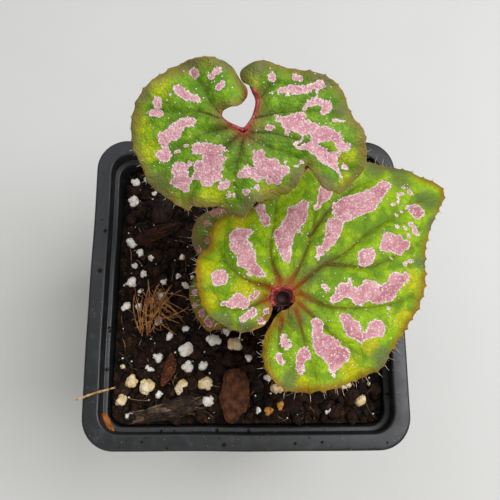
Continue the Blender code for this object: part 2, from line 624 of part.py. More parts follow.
def build_stalk(key, leaf):
    """Stalk from its stub on the rhizome to just under the blade, or up through leaf B's sinus."""
    turn = Euler([math.radians(a) for a in leaf["turn"]]).to_matrix()
    foot = Vector(leaf["foot"])
    lean = Vector(leaf["foot_lean"]).normalized()
    top_local = Vector((leaf["stalk_shift"], 0.0, STALK_TOP_B))
    if key != "b":
        around = [(leaf["stalk_shift"] + FEEL_RADIUS * math.cos(a), FEEL_RADIUS * math.sin(a)) for a in
                  (k * math.pi / 6 for k in range(12))]
        top_local.z = min(blade_height(leaf, x, y, OPEN_BLADE) for x, y in around) - BLADE / 2 - GAP
    top = Vector(leaf["place"]) + turn @ top_local
    normal = turn @ Vector((0.0, 0.0, 1.0))
    span = (top - foot).length
    path = bezier(foot, foot + lean * span * 0.4, top - normal * span * 0.35, top, STALK_STEPS)
    low, middle, high = leaf["stalk"]
    radii = []
    for i in range(STALK_STEPS + 1):
        t = i / STALK_STEPS
        radii.append(middle + (low - middle) * (1 - t) ** 3 + (high - middle) * t ** 6)
    made = tube(path, radii, STALK_SIDES)
    return add_object("petiole_" + key, made, "stalk_red", 60)


# Blades

def young_outline(length, half_width, lobe):
    """Heart outline of a small leaf with lobes that close over the stalk."""
    points = [(0.3, 0.0), (-0.5 * lobe, 0.16 * half_width), (-0.95 * lobe, 0.30 * half_width),
              (-lobe, 0.62 * half_width), (-0.55 * lobe, 0.92 * half_width), (0.10 * length, half_width),
              (0.42 * length, 0.86 * half_width), (0.74 * length, 0.52 * half_width),
              (0.93 * length, 0.20 * half_width)]
    mirrored = [(x, -y) for x, y in reversed(points[1:])]
    return points + [(length, 0.0)] + mirrored


def young_veins(length, half_width, lobe):
    """One vein to the tip and three to each side, for the same small leaf."""
    ends = [(0.78 * length, 0.0), (0.5 * length, 0.55 * half_width), (0.02 * length, 0.72 * half_width),
            (-0.6 * lobe, 0.55 * half_width)]
    veins = []
    for x, y in ends:
        for side in ((1, -1) if y else (1,)):
            veins.append([(0.06 * x + 0.5, 0.12 * y * side), (0.5 * x, 0.55 * y * side), (x, y * side)])
    return veins


def blade_height(leaf, x, y, edge):
    """Height over the leaf's plane at (x, y), with edge the distance to the margin."""
    ahead, behind, aside = leaf["reach"]
    tip_hang, lobe_hang, side_hang = leaf["hang"]
    height = -side_hang * (y / aside) ** 2
    height -= tip_hang * (max(x, 0.0) / ahead) ** 2 + lobe_hang * (min(x, 0.0) / behind) ** 2
    angle = math.atan2(y, x)
    away = min(1.0, math.hypot(x, y) / 12.0)
    rim = math.exp(-edge / MARGIN_WIDTH) * away
    height += leaf["wave"] * rim * math.sin(leaf["waves"] * angle + leaf["phase"])
    for fx, fy, reach, lift in leaf["folds"]:
        height += lift * math.exp(-((x - fx) ** 2 + (y - fy) ** 2) / reach ** 2)
    near = min(line_distance(Vector((x, y)), vein) for vein in leaf["vein_lines"])
    fade = 1.0 - 0.55 * min(1.0, math.hypot(x, y) / ahead)
    height -= VEIN_DEPTH * fade * math.exp(-near / VEIN_WIDTH)
    return height


def toothed(loop):
    """Outline with every other point pushed out into a small tooth."""
    points = []
    for i, point in enumerate(loop):
        along = loop[(i + 1) % len(loop)] - loop[i - 1]
        out = Vector((along.y, -along.x)).normalized()
        if not inside(point - out * 0.05, loop):
            out = -out
        away = min(1.0, max(0.0, (point.length - SMOOTH_SINUS) / 3.0))
        points.append(point + out * TOOTH * away * (1 if i % 2 else -1))
    return points


def blade_points(leaf, loop):
    """Points inside a blade's margin: along its veins, and between them on a grid in offset rows."""
    step = BLADE_STEP * leaf["point_step"]
    inner = []
    for vein in leaf["vein_lines"]:
        for start, end in zip(vein, vein[1:]):
            for k in range(max(1, round((end - start).length / step))):
                point = start.lerp(end, k * step / (end - start).length)
                clear = all((point - other).length > POINT_CLEARANCE for other in inner)
                if clear and inside(point, loop) and line_distance(point, loop, closed=True) > 0.9:
                    inner.append(point)
    veins_end = len(inner)
    low_x, high_x = min(p.x for p in loop), max(p.x for p in loop)
    low_y, high_y = min(p.y for p in loop), max(p.y for p in loop)
    row = 0
    y = low_y
    while y < high_y:
        x = low_x + (0.5 * step if row % 2 else 0.0)
        while x < high_x:
            point = Vector((x, y))
            clear = all((point - other).length > 0.62 * step for other in inner[:veins_end])
            if clear and inside(point, loop) and line_distance(point, loop, closed=True) > 0.45 * step:
                inner.append(point)
            x += step
        y += step * math.sqrt(0.75)
        row += 1
    return inner


def build_blade(key, leaf):
    """Blade of even thickness on the leaf's bent surface."""
    margin = smooth_closed(leaf["outline"], MARGIN_STEP)
    loop = toothed(margin)
    points, faces = triangulate(loop, blade_points(leaf, loop))
    made = bmesh.new()
    upper = []
    lower = []
    for point in points:
        edge = line_distance(point, margin, closed=True)
        z = blade_height(leaf, point.x, point.y, edge)
        slope_x = (blade_height(leaf, point.x + SLOPE_REACH, point.y, edge) - z) / SLOPE_REACH
        slope_y = (blade_height(leaf, point.x, point.y + SLOPE_REACH, edge) - z) / SLOPE_REACH
        normal = Vector((-slope_x, -slope_y, 1.0)).normalized()
        middle = Vector((point.x, point.y, z))
        upper.append(made.verts.new(middle + normal * BLADE / 2))
        lower.append(made.verts.new(middle - normal * BLADE / 2))
    for a, b, c in faces:
        made.faces.new((upper[a], upper[b], upper[c]))
        made.faces.new((lower[c], lower[b], lower[a]))
    for a, b in rim_edges(faces):
        made.faces.new((upper[b], upper[a], lower[a]))
        made.faces.new((upper[b], lower[a], lower[b]))
    blade = add_object("blade_" + key, made, "leaf_green", 50)
    blade.location = Vector(leaf["place"]) * MM
    blade.rotation_euler = [math.radians(a) for a in leaf["turn"]]
    return blade


def build_leaves():
    for key, leaf in LEAVES.items():
        if "young" in leaf:
            leaf["outline"] = leaf["outline"] or young_outline(*leaf["young"])
            leaf["veins"] = young_veins(*leaf["young"])
        leaf["vein_lines"] = [[Vector(p) for p in vein] for vein in leaf["veins"]]
        build_blade(key, leaf)
        build_stalk(key, leaf)


# Loose pieces

def rest_height(ground, outline):
    """Height at which a flat underside with this outline rests on the soil, a gap above its highest point."""
    heights = []
    low_x, high_x = min(p.x for p in outline), max(p.x for p in outline)
    low_y, high_y = min(p.y for p in outline), max(p.y for p in outline)
    for i in range(int((high_x - low_x) / REST_STEP) + 2):
        for j in range(int((high_y - low_y) / REST_STEP) + 2):
            point = Vector((low_x + i * REST_STEP, low_y + j * REST_STEP))
            if inside(point, outline) or line_distance(point, outline, closed=True) < REST_STEP:
                hit = ground.ray_cast(Vector((point.x, point.y, POT_HEIGHT)), Vector((0.0, 0.0, -1.0)))[0]
                if hit:
                    heights.append(hit.z)
    return max(heights) + GAP


def build_chip(name, chip, ground):
    """Bark piece with a flat underside, split edges and an uneven top."""
    cx, cy = chip["place"]
    flat = placed_outline(chip)
    rest = rest_height(ground, flat)
    outline = [Vector((p.x, p.y, 0.0)) for p in flat]
    middle = Vector((cx, cy, 0.0))
    made = bmesh.new()
    thick = chip["thickness"]
    loops = []
    for share, lift in CHIP_LEVELS:
        loop = []
        for i, point in enumerate(outline):
            rough = CHIP_ROUGHNESS * thick * math.sin(2.7 * i + 5 * lift) if lift > 0.5 else 0.0
            place = middle.lerp(point, share)
            loop.append(made.verts.new((place.x, place.y, rest + thick * lift + rough)))
        loops.append(loop)
    for low, high in zip(loops, loops[1:]):
        for i in range(len(low)):
            made.faces.new((low[i], low[(i + 1) % len(low)], high[(i + 1) % len(low)], high[i]))
    made.faces.new(loops[0])
    crown = made.verts.new((cx, cy, rest + thick * CHIP_CROWN))
    for i, corner in enumerate(loops[-1]):
        made.faces.new((corner, loops[-1][(i + 1) % len(outline)], crown))
    return add_object(name, made, chip["colour"])


def build_coir(ground):
    """Tuft of coconut fibres fused in a small core that lies on the soil."""
    footprint = []
    for k in range(8):
        angle = k * math.pi / 4
        footprint.append(Vector(COIR_CORE) + Vector((math.cos(angle), math.sin(angle))) * COIR_CORE_RADIUS)
    core = bmesh.new()
    bmesh.ops.create_icosphere(core, subdivisions=1, radius=COIR_CORE_RADIUS)
    bmesh.ops.scale(core, vec=(1.0, 1.0, COIR_CORE_SQUASH), verts=core.verts)
    middle = Vector((*COIR_CORE, rest_height(ground, footprint) + COIR_CORE_SQUASH * COIR_CORE_RADIUS))
    bmesh.ops.translate(core, verts=core.verts, vec=middle)
    pieces = [add_object("coir_tuft", core, "coir")]
    for i, (azimuth, steepness, length) in enumerate(COIR_FIBRES):
        around, up = math.radians(azimuth), math.radians(steepness)
        out = Vector((math.cos(around) * math.cos(up), math.sin(around) * math.cos(up), math.sin(up)))
        bow = Vector((-math.sin(around), math.cos(around), 0.0)) * length * COIR_BOW * math.sin(2.1 * i)
        end = middle + out * length - Vector((0.0, 0.0, length * COIR_DROOP))
        path = bezier(middle, middle + out * length * 0.35 + bow, middle + out * length * 0.75 + bow, end,
                      COIR_STEPS)
        radii = [COIR_THICKNESS * (1.0 - 0.1 * k / COIR_STEPS) for k in range(COIR_STEPS + 1)]
        pieces.append(add_object("fibre_%d" % i, tube(path, radii, COIR_SIDES), "coir"))
    return fuse("coir_tuft", pieces)


def main():
    clear_scene()
    build_pot()
    ground = build_soil()
    build_leaves()
    build_rhizome()
    for name, chip in CHIPS.items():
        build_chip(name, chip, ground)
    build_coir(ground)
    add_object("straw", tube(STRAW_PATH, [STRAW_RADIUS] * len(STRAW_PATH), STRAW_SIDES), "straw")


main()
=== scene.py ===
"""Looks of the potted begonia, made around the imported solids.

Sizes are in millimetres and scaled by MM when a mesh is made. The origin is the middle of the pot's
base. A leaf is drawn in its own plane: the stalk joins at (0, 0), x runs to the tip and y to its left.
"""
import math
import random

import bmesh
import bpy
import numpy as np
from mathutils import Euler, Matrix, Vector, noise
from mathutils.geometry import delaunay_2d_cdt


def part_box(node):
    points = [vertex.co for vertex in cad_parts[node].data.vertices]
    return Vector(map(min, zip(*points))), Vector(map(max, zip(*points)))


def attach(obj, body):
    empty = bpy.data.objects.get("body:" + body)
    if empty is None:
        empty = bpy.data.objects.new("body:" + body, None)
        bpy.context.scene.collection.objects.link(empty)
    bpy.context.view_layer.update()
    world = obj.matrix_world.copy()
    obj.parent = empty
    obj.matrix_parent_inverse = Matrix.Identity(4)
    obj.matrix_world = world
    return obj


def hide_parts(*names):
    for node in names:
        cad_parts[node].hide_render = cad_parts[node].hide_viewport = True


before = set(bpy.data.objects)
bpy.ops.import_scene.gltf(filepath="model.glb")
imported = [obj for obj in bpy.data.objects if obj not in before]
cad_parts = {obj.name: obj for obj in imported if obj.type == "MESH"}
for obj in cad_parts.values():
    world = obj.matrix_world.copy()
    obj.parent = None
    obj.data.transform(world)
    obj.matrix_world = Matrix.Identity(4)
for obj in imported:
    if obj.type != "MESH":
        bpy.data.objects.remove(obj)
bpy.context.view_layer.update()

MM = 0.001
UP = Vector((0.0, 0.0, 1.0))

# Camera: the photograph is taken from nearly overhead, a little from the front
CAMERA_PLACE = (-1.6, -26.2, 241.0)
CAMERA_ELEVATION = 76.7
CAMERA_YAW = 4.06
CAMERA_ROLL = 3.96
CAMERA_LENS = 39.6
SENSOR = 36.0

# Pot
RIM_HALF = 45.0
POT_HEIGHT = 85.0
BASE_HALF = 33.0
WALL = 1.0
RIM_CORNER = 9.0
WALL_CORNER = 5.6
BASE_CORNER = 4.6
COLLAR_HALF = 41.4
COLLAR_DROP = 4.5
SKIRT_DROP = 6.0
WALL_TOP_HALF = 39.9
FLOOR = 1.2
CORNER_STEPS = 12
SIDE_STEPS = 14
RIM_UNEVEN = 0.12
DRAIN_HOLES = [(22.0, 22.0, 4.0), (-22.0, 22.0, 4.0), (-22.0, -22.0, 4.0), (22.0, -22.0, 4.0),
               (24.0, 0.0, 2.8), (-24.0, 0.0, 2.8), (0.0, 24.0, 2.8), (0.0, -24.0, 2.8)]

# Soil
SOIL_LEVEL = 77.0
SOIL_FALL = 0.04
SOIL_STEP = 0.55
SOIL_CALM = 6.0
SOIL_SEED = 21

# Perlite that shows from above: x, y, radius and finish
GRAINS = [
    (-35.0, 28.0, 1.9, "white"), (-34.6, 34.2, 1.5, "white"), (-31.4, 35.6, 1.2, "white"),
    (-28.6, 30.8, 0.9, "white"), (-35.2, 14.8, 1.7, "white"), (-32.2, 11.6, 1.4, "white"),
    (-28.8, 10.2, 1.4, "white"), (-33.8, 7.4, 1.1, "white"), (-31.0, 4.8, 1.1, "white"),
    (-34.4, 2.4, 1.7, "white"), (-31.6, -0.6, 1.2, "white"), (-20.4, 4.4, 1.0, "white"),
    (-16.4, 4.0, 0.9, "white"), (-18.2, 1.2, 1.2, "white"), (-24.8, 2.6, 1.2, "white"),
    (-35.4, -5.0, 1.5, "white"), (-31.8, -5.2, 1.1, "white"), (-22.4, -13.8, 1.2, "white"),
    (-17.2, -17.6, 2.2, "white"), (-25.6, -20.0, 1.5, "white"), (-27.8, -23.2, 1.2, "white"),
    (-16.8, -22.8, 1.9, "white"), (-12.6, -22.2, 1.7, "white"), (-33.0, -26.8, 2.0, "cream"),
    (-28.4, -28.0, 2.4, "cream"), (-25.0, -30.2, 1.2, "white"), (-18.4, -28.0, 2.3, "cream"),
    (-11.8, -27.2, 2.3, "cream"), (-35.4, -31.6, 2.0, "cream"), (-9.6, -15.0, 2.2, "white"),
    (-3.0, -16.2, 2.3, "cream"), (0.8, -20.0, 1.2, "white"), (6.4, -25.4, 1.4, "white"),
    (8.4, -28.6, 1.9, "cream"), (2.6, -30.8, 0.9, "white"), (9.6, -33.2, 1.3, "orange"),
    (6.2, -35.0, 1.3, "orange"), (3.4, -34.6, 1.1, "white"), (-11.0, -32.0, 1.9, "white"),
    (1.4, -11.6, 1.2, "orange"), (24.6, -28.6, 1.7, "orange"), (28.4, -27.4, 1.7, "cream"),
    (32.2, -32.2, 1.9, "cream"), (23.2, -34.8, 1.2, "white")]

# Rhizome
RHIZOME_PATH = [(1.5, -4.0, 80.0), (0.2, 2.0, 80.9), (-1.0, 9.0, 80.6), (-1.6, 16.0, 80.4), (-1.2, 23.5, 79.3)]
RHIZOME_RADII = [2.4, 3.6, 3.5, 3.6, 2.6]
ROOT_PLACES = [(0.0, 2.5), (-1.6, 17.0)]
ROOT_RADIUS = 2.0
ROOT_BOTTOM = 66.0

# Leaves
BLADE_GAP = 0.65             # half the solid blade's thickness and its clearance over the stalk
BLADE_STEP = 0.42
BLADE_MIDDLE = 0.52          # thickness inside and at the margin
BLADE_EDGE = 0.24
VEIN_DEPTH = 0.75
VEIN_WIDTH = 1.7
MARGIN_WIDTH = 3.0

OUTLINE_A = [
    (0.4, 0.0), (-1.9, 1.2), (-3.4, 2.0), (-5.5, 2.6), (-6.9, 2.55), (-8.2, 1.95), (-9.3, 1.1), (-10.3, -0.3),
    (-11.6, -0.95), (-12.9, -0.7), (-14.0, 1.6), (-14.4, 5.0), (-13.4, 11.0), (-12.0, 17.0), (-9.2, 21.3),
    (-4.2, 23.4), (-1.0, 25.8), (3.2, 26.7), (7.0, 26.9), (10.4, 24.2), (12.6, 21.4), (11.6, 17.6), (9.4, 15.8),
    (6.8, 13.9), (9.2, 12.8), (12.2, 10.8), (14.6, 5.2), (15.2, 2.6), (18.0, 0.6), (17.4, -2.0), (16.2, -5.2),
    (16.3, -9.9), (15.4, -11.0), (16.9, -11.7), (16.6, -13.4), (14.2, -17.2), (11.6, -20.4), (6.8, -22.4),
    (3.0, -24.2), (-2.6, -24.5), (-7.6, -22.2), (-12.4, -17.3), (-14.8, -12.4), (-15.1, -7.0), (-14.2, -3.8),
    (-12.8, -2.1), (-10.9, -0.95), (-9.1, 0.35), (-7.5, 0.6), (-6.3, -0.2), (-5.3, -1.4), (-4.8, -3.3),
    (-4.3, -4.5), (-3.2, -4.9), (-2.0, -3.9), (-1.1, -2.2)]
VEINS_A = [
    [(1.0, 0.0), (5.9, -1.1), (8.8, -2.0), (14.0, -1.6)],
    [(0.8, 0.8), (2.6, 3.6), (4.2, 8.4), (5.4, 12.0)],
    [(0.2, 1.4), (0.4, 6.5), (2.0, 13.0), (4.6, 20.0), (7.5, 23.0)],
    [(-2.8, 2.6), (-4.2, 8.2), (-4.6, 15.0), (-4.4, 20.5)],
    [(-7.4, 3.6), (-10.2, 6.0), (-10.8, 12.0)],
    [(0.8, -0.8), (5.0, -6.4), (10.4, -11.6), (13.0, -14.0)],
    [(-0.6, -3.6), (0.5, -8.1), (2.2, -11.0), (6.0, -17.0)],
    [(-2.6, -5.4), (-4.0, -9.6), (-3.7, -13.6), (-4.2, -20.0)],
    [(-3.9, -5.4), (-6.6, -7.6), (-9.6, -9.0), (-11.6, -11.6)]]
# A blotch is a chain of rounds, each (x, y, radius)
BLOTCHES_A = [
    [(-12.2, -10.6, 1.1)],
    [(-11.3, -6.9, 0.7), (-12.2, -5.7, 0.8)],
    [(-8.9, -5.6, 0.8), (-9.7, -5.0, 0.8)],
    [(-8.7, -14.1, 1.1), (-7.3, -12.6, 1.1), (-7.0, -11.6, 0.7), (-6.7, -10.3, 0.8)],
    [(-5.5, -18.5, 1.1), (-4.3, -18.7, 0.6), (-3.6, -18.2, 0.9), (-3.8, -19.9, 0.8)],
    [(-7.3, -15.9, 0.4)],
    [(-1.9, -11.4, 1.1), (-1.3, -13.2, 1.1), (0.6, -15.1, 1.7), (1.5, -16.9, 1.4), (3.8, -16.7, 0.6),
     (5.6, -16.9, 1.4), (5.3, -17.8, 1.0)],
    [(4.6, -14.5, 0.3), (4.4, -13.7, 0.3)],
    [(5.5, -12.3, 0.3)],
    [(3.0, -12.8, 0.3), (3.3, -12.0, 0.3)],
    [(6.6, -11.6, 0.5), (7.5, -12.1, 0.4), (8.4, -13.5, 1.8), (10.5, -13.2, 1.7), (10.8, -15.0, 1.1)],
    [(12.0, -12.6, 0.9)],
    [(4.0, -10.1, 1.1), (4.0, -6.1, 1.4), (4.1, -4.2, 0.5), (4.4, -2.9, 0.2)],
    [(5.6, -7.6, 1.6), (6.1, -5.7, 1.4), (5.6, -3.3, 0.2)],
    [(7.9, -9.4, 1.5), (7.8, -6.1, 1.5), (8.0, -4.1, 0.2)],
    [(9.6, -10.2, 0.9), (9.8, -8.0, 1.4), (9.5, -5.6, 1.2)],
    [(11.0, -8.7, 0.6), (10.8, -6.9, 0.6)],
    [(11.0, -3.3, 0.6), (11.9, -4.8, 0.7)],
    [(12.7, -2.9, 0.5), (13.6, -3.1, 0.6), (13.3, -1.6, 0.6)],
    [(5.1, 3.1, 1.2), (6.7, 3.6, 1.5), (6.9, 6.2, 1.1), (7.2, 7.7, 0.4)],
    [(9.2, -1.0, 0.5), (8.7, 1.0, 1.2), (8.8, 4.1, 1.4), (8.8, 7.3, 1.4), (7.6, 9.3, 0.8), (6.4, 9.0, 0.4)],
    [(10.3, 5.5, 0.5), (9.9, 7.5, 0.8)],
    [(12.9, 0.4, 0.5), (11.7, 2.9, 0.3)],
    [(7.2, 11.1, 0.2), (6.3, 12.8, 0.3)],
    [(-11.4, 5.8, 1.1)],
    [(-11.5, 10.7, 0.5), (-11.1, 12.1, 0.5)],
    [(-7.9, 5.7, 0.3), (-8.8, 8.2, 0.7), (-9.0, 10.9, 1.1), (-9.2, 12.9, 1.0), (-10.1, 16.5, 0.6)],
    [(-7.9, 9.0, 0.7)],
    [(-9.0, 15.3, 0.6)],
    [(-5.2, 12.9, 0.2), (-6.4, 13.9, 0.7), (-6.7, 15.8, 0.9), (-6.1, 17.8, 1.0), (-4.3, 16.9, 0.6)],
    [(-2.9, 7.2, 0.6), (-2.8, 9.8, 0.9), (-3.0, 11.7, 1.2), (-3.4, 12.6, 0.8)],
    [(-1.7, 9.4, 1.2), (-1.3, 12.2, 1.6), (-1.2, 14.8, 1.4), (-2.3, 15.2, 0.5)],
    [(-0.1, 9.3, 0.6)],
    [(0.3, 15.6, 1.6), (0.1, 17.8, 1.7), (0.4, 19.6, 1.1), (2.5, 20.9, 0.9), (2.8, 22.4, 0.7)],
    [(-2.7, 21.1, 0.3), (-2.6, 19.2, 0.3)],
    [(2.7, 11.1, 0.3), (1.2, 12.7, 0.3)],
    [(3.1, 11.8, 0.5), (2.9, 14.1, 1.1), (4.0, 16.7, 1.3), (5.5, 19.0, 1.3), (7.3, 20.2, 0.6), (9.3, 21.2, 0.2)],
    [(4.6, 20.4, 0.3), (4.0, 19.0, 0.5)],
    [(7.2, 22.9, 0.4), (6.6, 21.7, 0.5)],
    [(-1.0, 5.3, 0.7)]]
YELLOW_A = [(-1.1, -22.5, 2.6), (4.2, -20.2, 2.6), (13.8, -6.7, 2.6), (13.0, 5.9, 2.3), (-9.4, -18.6, 3.0),
            (4.4, 22.1, 2.6), (9.8, 22.3, 1.9), (-10.3, 1.1, 2.1), (14.2, -17.0, 2.3)]
OLIVE_A = [(11.0, -18.2, 2.8), (15.6, 1.6, 2.8), (9.6, 11.9, 2.1), (10.8, 17.3, 2.3), (-14.4, -4.2, 1.9),
           (-12.8, 2.1, 2.2), (-10.9, 16.1, 2.3), (-5.1, 20.7, 1.7), (-14.4, -11.7, 1.7), (-7.5, -21.4, 1.7)]

OUTLINE_B = [
    (1.2, 2.5), (-1.0, 2.6), (-2.7, 1.4), (-3.6, -0.6), (-5.8, -2.5), (-8.6, -3.3), (-12.6, -2.0),
    (-16.1, 2.3), (-17.6, 7.0), (-16.6, 12.0), (-14.0, 17.6), (-11.0, 20.3), (-8.2, 20.6), (-7.0, 23.0),
    (-4.0, 25.0), (0.0, 25.2), (4.2, 23.6), (11.0, 24.4), (19.0, 26.5), (27.0, 26.6), (34.5, 24.4),
    (40.6, 20.4), (45.6, 16.4), (49.6, 13.2), (51.6, 9.2), (54.2, 4.6), (52.6, 1.2), (48.6, -0.8),
    (43.0, -4.3), (39.4, -8.0), (34.0, -14.4), (28.8, -18.4), (21.6, -22.3), (15.4, -24.4), (11.4, -26.0),
    (3.4, -25.1), (-3.8, -23.0), (-8.2, -20.7), (-10.9, -18.2), (-12.4, -14.6), (-11.9, -10.2),
    (-9.2, -6.0), (-6.0, -3.9), (-3.4, -2.7), (-0.6, -2.9), (1.7, -2.1), (2.7, 0.4)]
VEINS_B = [
    [(3.8, 0.6), (12.6, 1.9), (19.6, 1.8), (27.5, 3.3), (36.0, 3.6), (47.0, 4.4)],
    [(13.5, 1.9), (18.5, -1.5), (23.0, -4.4), (30.1, -5.1), (39.0, -5.6)],
    [(3.4, 2.2), (9.1, 5.6), (15.0, 10.3), (18.6, 14.0), (24.0, 19.5)],
    [(14.0, 9.8), (22.0, 13.2), (32.0, 15.4), (39.0, 15.0)],
    [(1.4, 3.8), (2.2, 8.5), (4.3, 12.7), (7.5, 16.4), (11.0, 21.0)],
    [(-1.6, 3.8), (-4.7, 7.4), (-6.3, 10.3), (-7.4, 14.9), (-7.0, 19.0)],
    [(-3.8, 1.8), (-7.9, 2.2), (-11.9, 3.6), (-14.6, 7.0)],
    [(4.0, -1.2), (7.9, -7.0), (14.6, -11.4), (23.2, -14.9), (29.6, -15.6)],
    [(2.4, -3.6), (4.4, -9.6), (6.4, -16.0), (9.6, -22.0)],
    [(0.6, -4.4), (-0.6, -9.0), (-2.0, -14.0), (-3.2, -19.6)],
    [(-3.4, -4.4), (-6.6, -8.4), (-8.6, -13.6)]]
BLOTCHES_B = [
    [(-10.5, 12.1, 2.0)],
    [(2.2, 18.0, 0.3), (0.3, 19.1, 1.2), (-1.0, 19.3, 1.9), (-2.1, 16.0, 2.5), (-2.7, 12.0, 2.1), (-2.8, 9.6, 1.4),
     (-1.2, 7.0, 0.5)],
    [(-4.9, 14.9, 0.6)],
    [(-12.9, 6.1, 0.5), (-11.9, 5.0, 0.9), (-9.6, 5.2, 1.4), (-9.1, 3.7, 1.3)],
    [(-6.5, 3.9, 0.5), (-5.2, 4.0, 0.5)],
    [(-11.4, 0.6, 0.8), (-7.8, 0.8, 0.8)],
    [(-5.4, -0.8, 0.9)],
    [(-7.8, -2.2, 0.7)],
    [(7.3, 22.0, 1.3), (6.8, 18.6, 1.1)],
    [(17.6, 17.8, 1.3), (14.9, 16.2, 2.5), (12.4, 15.0, 2.3), (8.8, 13.4, 2.3), (6.8, 10.7, 1.7), (5.8, 7.4, 0.7)],
    [(12.9, 12.7, 0.4), (12.5, 11.1, 0.2)],
    [(20.3, 15.5, 0.6), (21.5, 16.0, 0.5)],
    [(25.2, 18.1, 2.0), (20.5, 15.6, 0.4)],
    [(40.6, 12.0, 1.5), (37.0, 11.2, 1.9), (32.4, 10.4, 2.9), (28.2, 11.4, 3.1), (25.0, 10.8, 2.4)],
    [(28.6, 12.8, 1.6), (24.8, 13.2, 1.3)],
    [(21.9, 9.4, 1.7), (19.6, 7.8, 1.9), (17.6, 6.2, 1.5)],
    [(16.2, 5.6, 1.2), (14.0, 5.2, 0.8), (12.6, 4.6, 0.4)],
    [(43.2, 1.9, 2.0), (41.7, 4.0, 0.6), (39.5, 3.7, 0.2)],
    [(45.1, 7.3, 0.7)],
    [(42.7, 7.8, 0.5)],
    [(44.6, 9.0, 0.4)],
    [(42.0, 8.4, 0.3), (40.2, 6.0, 0.3)],
    [(38.8, 6.4, 0.5)],
    [(37.6, 3.6, 0.4)],
    [(35.6, 0.9, 0.6)],
    [(37.4, -0.4, 0.5)],
    [(39.3, -0.4, 0.6), (39.5, -3.0, 0.6)],
    [(36.6, -2.7, 0.4)],
    [(29.9, -2.1, 1.6), (31.8, -1.6, 2.4), (32.8, -3.2, 2.4), (34.8, -3.9, 1.3)],
    [(29.4, -5.0, 0.4)],
    [(23.3, -1.4, 1.9), (24.6, -1.7, 1.6), (22.0, -2.5, 1.2)],
    [(33.4, -8.1, 0.7)],
    [(31.4, -8.1, 0.5)],
    [(9.7, -2.6, 0.5), (10.3, -4.1, 0.5)],
    [(10.9, -6.4, 1.2), (13.5, -5.8, 1.6), (15.3, -7.2, 1.3), (16.3, -9.2, 2.0), (19.5, -9.0, 2.3),
     (19.9, -11.3, 1.9), (24.1, -11.8, 2.2), (26.6, -10.9, 2.0), (29.8, -10.9, 0.9)],
    [(16.2, -4.5, 0.2), (15.8, -6.5, 0.3)],
    [(10.1, -12.2, 1.5), (10.3, -14.9, 1.8), (11.3, -17.4, 1.4), (13.6, -18.1, 1.1), (15.8, -17.7, 2.3)],
    [(21.3, -15.3, 0.4)],
    [(20.0, -16.7, 0.4)],
    [(3.1, -8.9, 0.9), (4.0, -9.7, 1.1), (2.3, -11.6, 1.5), (1.7, -14.1, 2.0), (2.6, -16.9, 2.2),
     (5.0, -18.6, 1.9), (2.4, -19.5, 1.6)],
    [(4.0, -13.7, 1.0), (4.5, -15.6, 1.4)],
    [(-2.7, -13.7, 1.6), (-5.3, -15.5, 1.1), (-5.6, -16.6, 0.7)],
    [(-4.7, -8.2, 0.6), (-5.4, -9.6, 1.2)],
    [(-8.2, -11.4, 0.8), (-8.7, -12.3, 1.0)],
    [(0.8, -21.8, 0.4)]]
YELLOW_B = [(-5.5, 22.9, 3.1), (-13.1, 15.8, 2.9), (-15.8, 8.7, 2.4), (-6.0, 5.6, 3.8), (30.4, -12.2, 2.9),
            (23.6, -19.8, 2.9), (4.9, -22.6, 3.1), (-7.3, -19.3, 2.4), (12.3, -20.2, 2.4), (1.2, 22.0, 2.4)]
OLIVE_B = [(45.3, 11.5, 3.6), (47.9, 3.4, 3.3), (45.0, -3.2, 2.1), (8.4, 1.4, 3.3), (13.5, 2.3, 2.6),
           (-0.4, -6.1, 2.6), (13.0, -23.9, 2.9), (-8.6, -16.7, 2.4), (35.6, -9.7, 1.9), (-15.6, 2.5, 2.9),
           (41.0, 17.3, 3.2), (-11.4, -0.9, 2.1), (46.5, 14.0, 3.4), (36.0, 21.0, 3.0), (28.0, 22.5, 3.0)]

OUTLINE_C = [
    (0.3, 0.0), (-3.0, 1.5), (-5.7, 2.9), (-6.0, 5.9), (-3.3, 8.7), (1.2, 9.5), (5.0, 8.2), (8.8, 6.2),
    (11.2, 3.2), (12.1, -0.6), (11.7, -3.8), (9.8, -6.4), (5.6, -8.6), (1.2, -9.5), (-3.3, -8.7), (-6.0, -5.9),
    (-5.7, -2.9), (-3.0, -1.5)]
BLOTCHES_C = [[(7.5, -4.2, 1.1)], [(5.0, -7.2, 1.3), (2.9, -8.0, 1.2)], [(7.5, 0.5, 0.9)], [(10.1, 3.4, 0.5)],
              [(3.4, 5.2, 1.0)], [(-2.0, -5.6, 0.9)], [(4.0, -2.2, 0.6)]]
BLOTCHES_D = [[(1.9, -7.1, 0.7)], [(5.5, -5.8, 0.7)], [(6.7, -3.0, 1.1)], [(8.4, -0.8, 0.8), (8.8, 0.6, 0.7)],
              [(5.0, 4.4, 0.9)], [(-1.8, 5.0, 0.8)], [(3.4, 0.6, 0.5)]]

